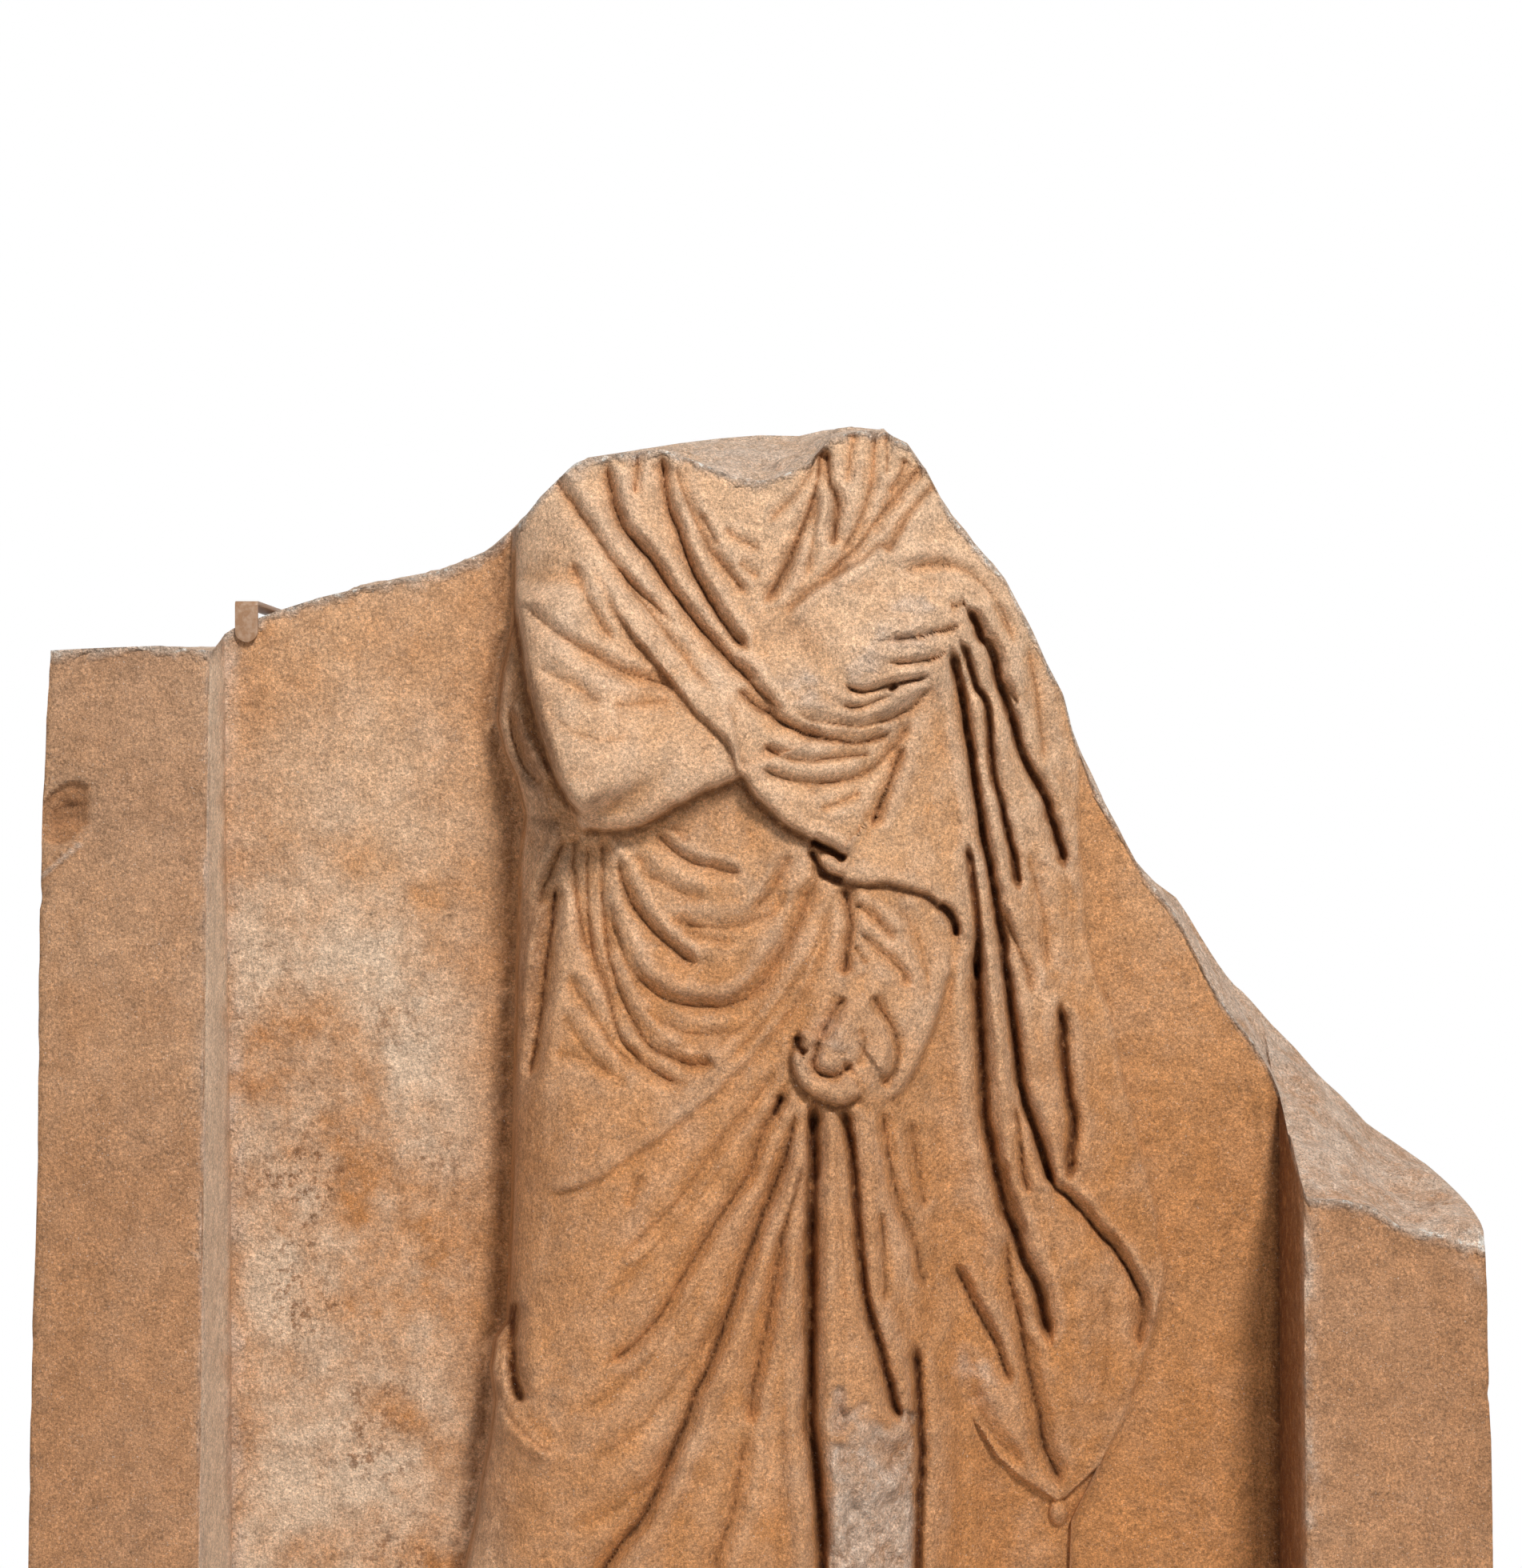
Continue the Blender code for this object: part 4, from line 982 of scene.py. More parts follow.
    def legs(self) -> tuple[Fold, ...]:
        """The fan of folds from the hip across the bent leg, and the uprights over the standing one.

        Returns:
            The strokes, in carving order.
        """
        return (
            edge(6, 4.5, (66.2, 148.3), (70.4, 148.8), (74, 147.6), (77.4, 145.6), (79.9, 143.9),
                 (82.4, 142.3), (84.9, 140.2), (88.2, 137.7), (90.3, 135.7), (92.8, 133.2), (95.2, 130.7),
                 (97.3, 128.2), (99.8, 124.9), (101.5, 121.6), (102.7, 117.8), (104, 113.7), patina_and_shade=0.45,
                 runout=0.1),
            valley(0.6, 4, (98.1, 131.9), (96.5, 134.4), (94.8, 136.9), (92.8, 139.4), (90.7, 141.9),
                   (88.6, 144.8), (84.9, 149.9), (81.6, 153.3), (79, 155.8), (76.1, 158.7), lean=0.5,
                   patina_and_shade=0.4),
            valley(0.5, 2.5, (80.4, 146.8), (79.4, 148.8), (78.2, 151)),
            valley(0.6, 2.5, (92, 144), (88, 149), (84, 153.5), (79, 159), (74, 164)),
            valley(0.6, 6.5, (98.8, 134.6), (97.7, 137.3), (96.9, 139), (95.7, 141), (94.4, 144.4),
                   (93.6, 146.9), (92.1, 149.1), (90.4, 151.6), (88.7, 154.1), (87, 157), (84.9, 160.4),
                   (83.3, 163.4), (81.6, 165.9), (79.9, 167.6), (77.8, 169.3), (75, 171), lean=0.7,
                   patina_and_shade=0.6, runout=0.08),
            drilled(0.4, 4, (97.9, 136.8), (96.6, 139.6)),
            valley(0.7, 10, (99.9, 137.4), (99, 141.5), (98.2, 144.8), (96.7, 148.6), (95, 152.8),
                   (93.8, 156.2), (92.5, 160), (91.3, 163.4), (90.2, 166.7), (88.7, 170.5), (87, 174.3),
                   (85.8, 177.7), (84.1, 181.5), (82.4, 185.7), (80.3, 189.9), (78.2, 192.4), (76.1, 195.4),
                   (71, 203), lean=0.7, patina_and_shade=0.85, runout=0.06),
            valley(0.6, 6.5, (100.5, 145), (99.5, 149.5), (98.6, 152), (97.8, 154.9), (97.1, 158.7),
                   (96.5, 162.1), (95.9, 165.5), (95.3, 168.4), (94.6, 171.8), (94, 175.1), (94.2, 178.7),
                   lean=0.6, patina_and_shade=0.7, runout=0.06),
            valley(0.7, 5, (94.4, 177.5), (93.1, 181), (92.5, 184), (91.7, 188.6), (90.4, 192.8), (89.4, 196),
                   (88, 206), lean=0.5, patina_and_shade=0.6),
            valley(0.9, 2.5, (98.4, 172.6), (98, 177.7), (97.8, 184.4), (97.4, 190.3), (97, 204)),
            valley(0.9, 3, (91, 164), (87.5, 169), (84.1, 173.5), (80.7, 177.7), (76.9, 181), (71.9, 182.4)),
            valley(0.9, 3, (85.5, 180.5), (82.5, 184), (78.5, 187.5), (74.5, 190), (70.5, 191.4)),
            valley(0.8, 2.5, (89, 158.5), (85, 164), (80.5, 170.5), (76, 174.5), (70, 177)),
            drilled(0.75, 15, (102.1, 136.8), (101.7, 141.5), (101.7, 145.6), (101.6, 148.2), (101.4, 156.6),
                    (101.4, 165), (101.4, 173.5), (101.4, 178.5), (102, 182.7), (102.2, 186.1),
                    (102.6, 190.3), (102.8, 196), (102.4, 210), (102, 226), runout=0.04),
            valley(0.5, 3, (104.6, 142), (104.8, 148.2), (105.4, 154.9), (105.6, 160.8), (106.4, 165)),
            drilled(0.6, 10, (105.3, 137.6), (106, 141.5), (106.6, 145.6), (106.9, 148.6), (107.2, 153.3),
                    (107.7, 158.3), (108.1, 161.7), (109.1, 165.9), (110.2, 169.3), (110.8, 171.8),
                    (111.7, 175.1), (112.7, 178.5), runout=0.06),
            valley(0.5, 6, (110.2, 138), (110.6, 141.5), (111, 143.9), (111.7, 147.4), (112.7, 151.2),
                   (114.2, 154.9), (115.1, 158.6), (116.1, 162.1), lean=-0.4, patina_and_shade=0.7, runout=0.1),
            valley(0.45, 5, (110.2, 150.5), (110.6, 156.2), (110.8, 160), (110.6, 163.9), patina_and_shade=0.7),
            valley(0.5, 4.5, (113.8, 139.4), (114.5, 143.9), (115, 147.4), (115.8, 152), patina_and_shade=0.6),
            drilled(0.55, 9, (114.2, 167), (114.7, 171.5), (115, 177.7), (115.2, 181.9), (114.9, 188),
                    (114.8, 196), (115, 222), runout=0.06),
            ridge(1.2, 3, (118.2, 155), (118.4, 165), (118.2, 176), (118.4, 190), (118.2, 204)),
            valley(0.7, 2.5, (117, 150), (116.8, 160), (116.6, 168)),
            valley(1.0, 6, (108, 200), (108.5, 208), (108, 226)),
            edge(3, 7, (70, 182.2), (68.5, 181.6), (66.4, 180.4), (64.3, 178.3), (62.4, 175.3), (61.9, 171.4),
                 (62.5, 167.6), (63.9, 164.2), patina_and_shade=0.6),
            drilled(0.7, 9, (64.5, 162), (64.1, 166), (64.1, 170), (64.6, 173.6), (65.6, 175.6), lean=0.4),
            ridge(1.2, 6, (63.4, 165), (62.3, 170), (62.8, 174.5), (64.8, 178.4), (67.6, 180.8), (71.4, 182)),
            ridge(1.0, 2.5, (65.4, 172.2), (67, 173.6), (69.8, 174.3), (72.7, 173.9)),
        )

    def hem(self) -> tuple[Fold, ...]:
        """The slanting hem over the shins, and the pleats below it, plainer than the rest.

        Returns:
            The strokes, in carving order.
        """
        return (
            edge(12, 11, (62, 214), (68, 219), (76, 224), (83, 228), (90, 231), (98, 234.5), (104, 236),
                 (116, 232)),
            valley(1.0, 5, (82, 206), (81, 214), (80, 222)),
            valley(0.9, 7, (74, 228), (74, 242)),
            valley(0.8, 6, (79.5, 230), (79.5, 236)),
            valley(0.9, 7, (85, 232), (85.4, 245)),
            valley(0.9, 7, (88.5, 233), (88.5, 246)),
            valley(0.9, 7, (92, 235), (92, 246)),
            valley(0.9, 7, (95.2, 236), (95, 246)),
            valley(0.9, 7, (98, 238), (97.6, 246)),
            valley(0.9, 7, (112, 236), (112, 246)),
            valley(0.9, 6, (116, 234), (116, 246)),
        )

    def folds(self) -> tuple[Fold, ...]:
        """Every stroke on the figure, in carving order."""
        return (self.chest() + self.sling() + self.arm() + self.hand() + self.falling_cloth() + self.belly()
                + self.sleeve() + self.legs() + self.hem())

    def body(self, x: Grid, y: Grid) -> Grid:
        """The rounded figure without its folds.

        Args:
            x: Places across, in squares.
            y: Places down, in squares.

        Returns:
            Metres in front of the antae.
        """
        left = read_off(self.contour_left, y)
        right = read_off(self.body_right, y)
        outer = read_off(self.contour_right, y)
        front = read_off(self.front, y) / 1000.0
        border = read_off(self.border, y) / 1000.0
        share = (x - left) / (right - left)
        fall_left = (front + self.contour_drop) * (1.0 - quarter(share / 0.27))
        fall_right = (front - border) * (1.0 - np.sin(0.5 * np.pi * np.clip((1.0 - share) / 0.36, 0.0, 1.0)))
        panel = self.slab.panel(x, y)
        spread = np.clip((x - right) / (outer - right), 0.0, 1.0)
        cloth = panel + self.cloth_step + (border - panel - self.cloth_step) * (1.0 - spread**1.5)
        below = y - read_off(self.tail_hem, x)
        side = (border - panel) * (1.0 - ease((x - right) / self.side_slope))
        bed = (cloth - panel - self.hem_thickness) * (1.0 - ease(below / self.bed_run))
        ground = panel + np.maximum(side, np.maximum(bed, 0.0))
        cloth = ground + (cloth - ground) * ease(0.5 - below / 0.5)
        return np.where(share < 1.0, front - fall_left - fall_right, cloth)

    def surface(self, x: Grid, y: Grid) -> tuple[Grid, Grid, Grid]:
        """The carved surface.

        Args:
            x: Places across, in squares.
            y: Places down, in squares.

        Returns:
            Metres in front of the antae, dirt with painted shade from 0 to 1, and fresh breakage from 0 to 1.
        """
        depth = self.body(x, y)
        for mass in self.masses:
            depth = depth + mass.lift(x, y) / 1000.0
        # Painted shade and dirt: first along the figure's left contour, then in the floors of the strokes.
        dirt_and_shade = np.zeros_like(x)
        for shade_and_stain in self.shade_and_stains:
            dirt_and_shade = np.maximum(dirt_and_shade, shade_and_stain.lift(x, y))
        shake = 0.10 * rough(x / 1.5, y / 1.5, 31.0, 2)
        for fold in self.folds():
            chain = smooth_line(fold.points)
            low, high = chain.min(axis=0) - fold.reach(), chain.max(axis=0) + fold.reach()
            near = (x > low[0]) & (x < high[0]) & (y > low[1]) & (y < high[1])
            if not near.any():
                continue
            away, share = beside(x[near], y[near], chain)
            fade = ease(share / fold.runout) * ease((1.0 - share) / fold.runout)
            change, soil_and_shade = fold.profile(away + shake[near], fade)
            depth[near] += change / 1000.0
            dirt_and_shade[near] = np.maximum(dirt_and_shade[near], soil_and_shade)
        depth += self.tassel.lift(x, y) / 1000.0
        break_up = self.breakage(x, y)
        depth = depth - break_up * (0.006 + 0.006 * break_up * rough(x / 2.6, y / 3.2, 71.0, 5))
        depth = depth + 0.0004 * rough(x / 2.0, y / 2.0, 61.0, 3)
        bruised = np.zeros_like(x)
        for bruise in self.bruises:
            bruised = np.maximum(bruised, bruise.lift(x, y))
        rubbed = bruised * (0.55 + 0.9 * rough(x / 1.4, y / 1.1, 83.0))
        marks = np.maximum(break_up, np.clip(rubbed, 0.0, 0.8))
        return np.maximum(depth, self.slab.panel(x, y)), dirt_and_shade * (1.0 - 0.7 * break_up), marks

    def breakage(self, x: Grid, y: Grid) -> Grid:
        """Where the front of the standing leg has flaked away.

        Args:
            x: Places across, in squares.
            y: Places down, in squares.

        Returns:
            The breakage from 0 to 1.
        """
        wobble = 1.3 * rough(x / 3.0, y / 3.0, 44.0)
        left = ease((x - 103.2 + wobble * 0.5) / 1.4)
        right = ease((114.6 - x + wobble * 0.4) / 1.2)
        top = ease((y - 174.0 + wobble * 3.0 - 0.25 * (x - 104.0)) / 5.0)
        low = ease((206.0 - y) / 8.0)
        return left * right * top * low


@dataclass(frozen=True)
class Band:
    """A band of mesh columns.

    Attributes:
        start: The band's left border.
        end: Its right border.
        steps: Columns in it, the left border's with them.
        ground: What it runs over.
        bunch: 1 crowds the columns towards both borders, 0 spaces them evenly.
    """

    start: Guide
    end: Guide
    steps: int
    ground: Ground
    bunch: float = 0.0

    def shares(self) -> Grid:
        """Where the columns stand between the band's borders, from 0 up to 1, one to a row."""
        even = np.arange(self.steps)[:, None] / self.steps
        return even * (1.0 - self.bunch) + (0.5 - 0.5 * np.cos(np.pi * even)) * self.bunch

    def across(self, y: Grid) -> Grid:
        """Where the columns stand at given heights, one row of heights to a column."""
        return self.start(y) + (self.end(y) - self.start(y)) * self.shares()


@dataclass
class CarvedStone:
    """The whole carved block as one mesh.

    Its hollows are given as reach in mesh cells, depth that counts as full, and weight.
    """

    figure: Figure = field(default_factory=Figure)
    low_rows: int = 70
    high_rows: int = 560
    split: float = 196.0
    break_rows: int = 40
    rear_land: float = 0.004
    triangles: int = 196000
    fringe: float = 1.1
    rubble_grain: float = 34.0
    rubble_depth: float = 0.005
    rubble: float = 0.0075
    rubble_proud: float = 0.002
    rubble_end: float = 0.012
    corner_rise: float = 0.7
    ledge_arris: float = 0.005
    hollow_sizes: tuple[tuple[int, float, float], ...] = (
        (4, 0.0022, 0.4), (13, 0.0055, 0.4), (40, 0.02, 0.2),
    )
    sharp: float = 66.0

    @property
    def slab(self) -> Slab:
        """The block that the figure stands on."""
        return self.figure.slab

    @property
    def layout(self) -> Layout:
        """The squared layout."""
        return self.slab.layout

    def bands(self) -> list[Band]:
        """Lays out the bands of columns.

        Returns:
            The bands from left to right.
        """
        slab, figure = self.slab, self.figure

        def contour(y: Grid) -> Grid:
            """The figure's left contour."""
            return read_off(figure.contour_left, y)

        def cloth(y: Grid) -> Grid:
            """The right contour of the falling cloth."""
            return read_off(figure.contour_right, y)

        borders: list[tuple[Guide, int, Ground, float]] = [
            (slab.left_edge, 28, Ground.ANTA, 0.7),
            (slab.left_arris, 9, Ground.LEFT_WALL, 0.0),
            (slab.left_corner, 34, Ground.PANEL, 0.0),
            (lambda y: contour(y) - 0.5, 4, Ground.LEFT_STEP, 0.0),
            (contour, 156, Ground.FIGURE, 0.0),
            (lambda y: read_off(figure.guide_middle, y), 92, Ground.FIGURE, 0.0),
            (lambda y: read_off(figure.guide_cloth, y), 80, Ground.FIGURE, 0.0),
            (cloth, 3, Ground.RIGHT_STEP, 0.0),
            (lambda y: cloth(y) + 0.6, 20, Ground.PANEL, 0.0),
            (slab.right_corner, 5, Ground.RIGHT_WALL, 0.0),
            (slab.right_arris, 28, Ground.ANTA, 0.7),
            (slab.right_edge, 1, Ground.ANTA, 0.0),
        ]
        ends = [border[0] for border in borders[1:]] + [slab.right_edge]
        return [Band(start, end, steps, ground, bunch)
                for (start, steps, ground, bunch), end in zip(borders, ends)]

    def ground_depth(self, band: Band, x: Grid, y: Grid) -> tuple[Grid, Grid, Grid]:
        """The surface of one band.

        Args:
            band: The band.
            x: Places across, in squares.
            y: Places down, in squares.

        Returns:
            Metres in front of the antae, dirt with painted shade, and breakage.
        """
        clean = np.zeros_like(x)
        if band.ground is Ground.FIGURE:
            return self.figure.surface(x, y)
        panel = self.slab.panel(x, y)
        share = band.shares()
        if band.ground is Ground.PANEL:
            lime = np.where(x < self.layout.axis, np.exp(-((share / 0.035) ** 2)), 0.0)
            lime = np.clip(lime * (0.6 + 0.9 * rough(x / 1.2, y / 3.0, 63.0)), 0.0, 0.8)
            # Painted shadow with dirt on the last stretch of each panel band: beside the figure's left
            # contour, and in the right anta's corner.
            return panel, clean + 0.8 * ease((share - 0.86) / 0.14), lime
        if band.ground is Ground.ANTA:
            return self.slab.anta(x, y), *self.slab.anta_marks(x, y)
        if band.ground is Ground.LEFT_WALL:
            top = self.slab.anta(x, y) - self.slab.wall_soft
            streaks = np.exp(-(((share - 0.82) / 0.12) ** 2)) + 1.3 * np.exp(-((share / 0.12) ** 2))
            streaks = streaks * (0.2 + 0.8 * rough(share * 9.0 + y * 0.0, y / 9.0, 57.0))
            return top + (panel - top) * share, clean, np.clip(streaks, 0.0, 0.8)
        if band.ground is Ground.RIGHT_WALL:
            top = self.slab.anta(x, y) - self.slab.wall_soft
            # Painted shade on the right anta's inner wall, which faces away from the light; darkest at its
            # foot.
            return panel + (top - panel) * share, clean + 1.0 - 0.35 * share, clean
        if band.ground is Ground.LEFT_STEP:
            # Painted shade on the step up to the figure's left contour, growing towards its top.
            return panel + (-self.figure.contour_drop - panel) * share, clean + 0.8 * share, clean
        # A faint even darkening on the step at the falling cloth's right contour.
        return panel + self.figure.cloth_step * (1.0 - share), clean + 0.2, clean

    def band_front(self, band: Band) -> tuple[Grid, Grid]:
        """One band of the carved front.

        Args:
            band: The band.

        Returns:
            Points by column and row, and for each the dirt with painted shade, the breakage, and the skin: 1
            on the grey antae, -1 on the left wall, which is painted pale where the light falls on it.
        """
        layout = self.layout
        top = np.full((band.steps, 1), 80.0)
        for _ in range(14):
            top = read_off(self.slab.front_edge, band.across(top))
        foot = np.full((band.steps, 1), layout.sole)
        for _ in range(6):
            depth = self.ground_depth(band, band.across(foot), foot)[0]
            foot = layout.eye + (layout.sole - layout.eye) / layout.scale_at(depth)
        low = foot + (self.split - foot) * np.linspace(0.0, 1.0, self.low_rows, endpoint=False)
        rise = np.linspace(0.0, 1.0, self.high_rows + 1)
        y = np.concatenate([low, self.split + (top - self.split) * rise], 1)
        x = band.across(y)
        depth, dirt_and_shade, broken = self.ground_depth(band, x, y)
        fringe = 1.6 * ease(1.0 - (y - top - 0.5 * rough(x / 1.3, y / 1.3, 97.0)) / self.fringe)
        broken = np.maximum(broken, fringe)
        scale = layout.scale_at(depth)
        height = self.slab.ledge + ((layout.sole - layout.eye) + (layout.eye - y) * scale) * layout.square
        height[:, 0] = self.slab.ledge
        points = np.stack([(x - layout.axis) * scale * layout.square, self.slab.face - depth, height], -1)
        # -1 marks the left wall, which the marble paints pale as painted light.
        skin = np.full_like(x, {Ground.ANTA: 1.0, Ground.LEFT_WALL: -1.0}.get(band.ground, 0.0))
        return points, np.stack([dirt_and_shade, broken, skin], -1)

    def front(self) -> tuple[Grid, Grid]:
        """Puts the bands of the carved front together.

        Returns:
            Points by row and column, and for each the dirt with painted shade, the breakage and the skin.
        """
        made = [self.band_front(band) for band in self.bands()]
        points = np.concatenate([points for points, _ in made])
        marks = np.concatenate([marks for _, marks in made])
        return points.swapaxes(0, 1), marks.swapaxes(0, 1)

    def broken_top(self, edge_row: Grid) -> Grid:
        """Runs the broken top from its front edge back to the rear face.

        Args:
            edge_row: The points along the front edge.

        Returns:
            The points by row and column.
        """
        layout = self.layout
        rear = self.slab.back - self.rear_land
        scale = layout.scale_at(self.slab.face - rear)
        seen = layout.axis + edge_row[:, 0] / (layout.square * scale)
        crest = read_off(self.slab.crest, seen)
        crest = self.slab.ledge + ((layout.sole - layout.eye) + (layout.eye - crest) * scale) * layout.square
        crest = edge_row[:, 2] + (crest - edge_row[:, 2]) * (0.4 + 0.6 * ease((seen - 36.0) / 10.0))
        rows = []
        for step in range(1, self.break_rows + 1):
            back = step / self.break_rows
            behind = np.stack([edge_row[:, 0], np.full_like(seen, rear), crest], -1)
            row = edge_row + (behind - edge_row) * back
            risen = back ** (1.0 - self.corner_rise * ease((seen - 169.0) / 8.0))
            row[:, 2] = edge_row[:, 2] + (crest - edge_row[:, 2]) * risen
            fade = math.sin(math.pi * back) ** 0.6 if step < self.break_rows else 0.0
            ground = rough(row[:, 0] * self.rubble_grain, row[:, 1] * self.rubble_grain, 91.0, 5)
            ends = np.minimum(row[:, 0] - row[0, 0], row[-1, 0] - row[:, 0])
            clear = (ease((seen - 38.0) / 6.0) * 0.8 + 0.2) * ease(ends / self.rubble_end)
            sunk = np.maximum(self.rubble_depth + self.rubble * ground, -self.rubble_proud)
            row[:, 2] -= fade * clear * sunk
            rows.append(row)
        return np.array(rows)

    def ledge_rows(self, foot: Grid) -> Grid:
        """Runs up the front of the ledge under the figure's feet.

        Args:
            foot: The points along the foot of the carved front.

        Returns:
            The points by row and column.
        """
        front, top, arris = self.slab.face - self.slab.projection, self.slab.ledge, self.ledge_arris
        profile = ((0.0, 0.0), (0.0, top * 0.5), (0.0, top - arris),
                   (arris * 0.35, top - arris * 0.3), (arris, top))
        rows = []
        for forward, height in profile:
            row = foot.copy()
            row[:, 1] = front + forward
            row[:, 2] = height
            rows.append(row)
        return np.array(rows)

    def build(self, finish: "MarbleFinish") -> bpy.types.Object:
        """Makes the stone.

        Args:
            finish: The marble that it is dressed in.

        Returns:
            The stone as one object that stands for its solid.
        """
        front, shown = self.front()
        ledge, top = self.ledge_rows(front[0]), self.broken_top(front[-1])
        points = np.concatenate([ledge, front, top])
        carved = slice(len(ledge), len(ledge) + len(front))
        # The dirt mark carries real dirt and painted shade; the hollow mark drives painted shade in sunk
        # places and painted highlight on crests.
        marks = {mark: np.zeros(points.shape[:2]) for mark in ("dirt_and_shade", "broken", "skin", "hollow")}
        for layer, mark in enumerate(("dirt_and_shade", "broken", "skin")):
            marks[mark][carved] = shown[..., layer]
        marks["broken"][carved.stop:] = 1.0
        marks["hollow"][carved] = self.hollows(front[..., 1])
        stone = bpy.data.objects.new("stele_stone", self.closed(points, marks))
        bpy.context.scene.collection.objects.link(stone)
        mesh = self.thin(stone)
        behind = [vertex.co.y > self.slab.back - 1e-5 for vertex in mesh.vertices]
        smooth = [not all(behind[vertex] for vertex in face.vertices) for face in mesh.polygons]
        mesh.polygons.foreach_set("use_smooth", smooth)
        mesh.set_sharp_from_angle(angle=math.radians(self.sharp))
        mesh.materials.append(finish.material())
        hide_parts("stele")
        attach(stone, "root")
        LOG.info("stele_stone: %d faces from %d rows by %d columns", len(mesh.polygons), *points.shape[:2])
        return stone

    def closed(self, points: Grid, marks: dict[str, Grid]) -> bpy.types.Mesh:
        """Closes the rows into a block with flat sides and a flat rear face.

        Args:
            points: Points by row and column, from the foot of the ledge over the front to the rear.
            marks: The marks at each of them, by name.

        Returns:
            The closed mesh.
        """
        tall, wide = points.shape[:2]
        index = np.arange(tall * wide).reshape(tall, wide)
        quads = np.stack([index[:-1, :-1], index[:-1, 1:], index[1:, 1:], index[1:, :-1]], -1).reshape(-1, 4)
        rim = np.concatenate([index[0], index[1:, -1], index[-1, -2::-1], index[-2:0:-1, 0]])
        rear = points.reshape(-1, 3)[rim].copy()
        rear[:, 1] = self.slab.back
        ring = np.arange(len(rim)) + tall * wide
        onward = np.roll(np.arange(len(rim)), -1)
        sides = np.stack([rim[onward], rim, ring, ring[onward]], -1)
        mesh = bpy.data.meshes.new("stele_stone")
        corners = np.concatenate([points.reshape(-1, 3), rear])
        mesh.from_pydata(corners.tolist(), [], quads.tolist() + sides.tolist() + [ring.tolist()])
        mesh.validate()
        for name, values in marks.items():
            layer = mesh.attributes.new(name, "FLOAT", "POINT")
            values = np.concatenate([values.ravel(), np.zeros(len(rim))])
            layer.data.foreach_set("value", values.astype(np.float32))
        return mesh

    def thin(self, stone: bpy.types.Object) -> bpy.types.Mesh:
        """Thins the mesh where it is plain, so that the folds keep the fine faces.

        Args:
            stone: The carved stone, fresh from the grid.

        Returns:
            Its new mesh.
        """
        carved = stone.data
        corners = sum(len(face.vertices) - 2 for face in carved.polygons)
        thinner = stone.modifiers.new("thin", "DECIMATE")
        thinner.ratio = min(1.0, self.triangles / corners)
        graph = bpy.context.evaluated_depsgraph_get()
        thinned = bpy.data.meshes.new_from_object(stone.evaluated_get(graph))
        stone.modifiers.clear()
        stone.data = thinned
        bpy.data.meshes.remove(carved)
        thinned.name = stone.name
        return thinned

    def hollows(self, depth: Grid) -> Grid:
        """Finds the hollows and crests of the carved front, for painted shade in the hollows and painted
        highlight on the crests.

        Args:
            depth: How far back each place lies.

        Returns:
            How far it lies under its surroundings, from -1 on a crest to 1 in a hollow.
        """
        total = np.zeros_like(depth)
        for span, height, weight in self.hollow_sizes:
            soft = depth
            for _ in range(2):
                for axis in (0, 1):
                    soft = self.box_mean(soft, span, axis)
            total += weight * np.clip((depth - soft) / height, -1.0, 1.0)
        return total

    def box_mean(self, values: Grid, span: int, axis: int) -> Grid:
        """Takes the mean over the cells to both sides.

        Args:
            values: The values by row and column.
            span: How many cells to each side.
            axis: 0 for down, 1 for across.

        Returns:
            The mean at each place.
        """
        size = values.shape[axis]
        padded = np.concatenate([np.repeat(np.take(values, [0], axis), span + 1, axis), values,
                                 np.repeat(np.take(values, [-1], axis), span, axis)], axis)
        sums = np.cumsum(padded, axis=axis)
        upper = np.take(sums, np.arange(2 * span + 1, 2 * span + 1 + size), axis)
        return (upper - np.take(sums, np.arange(size), axis)) / (2 * span + 1)


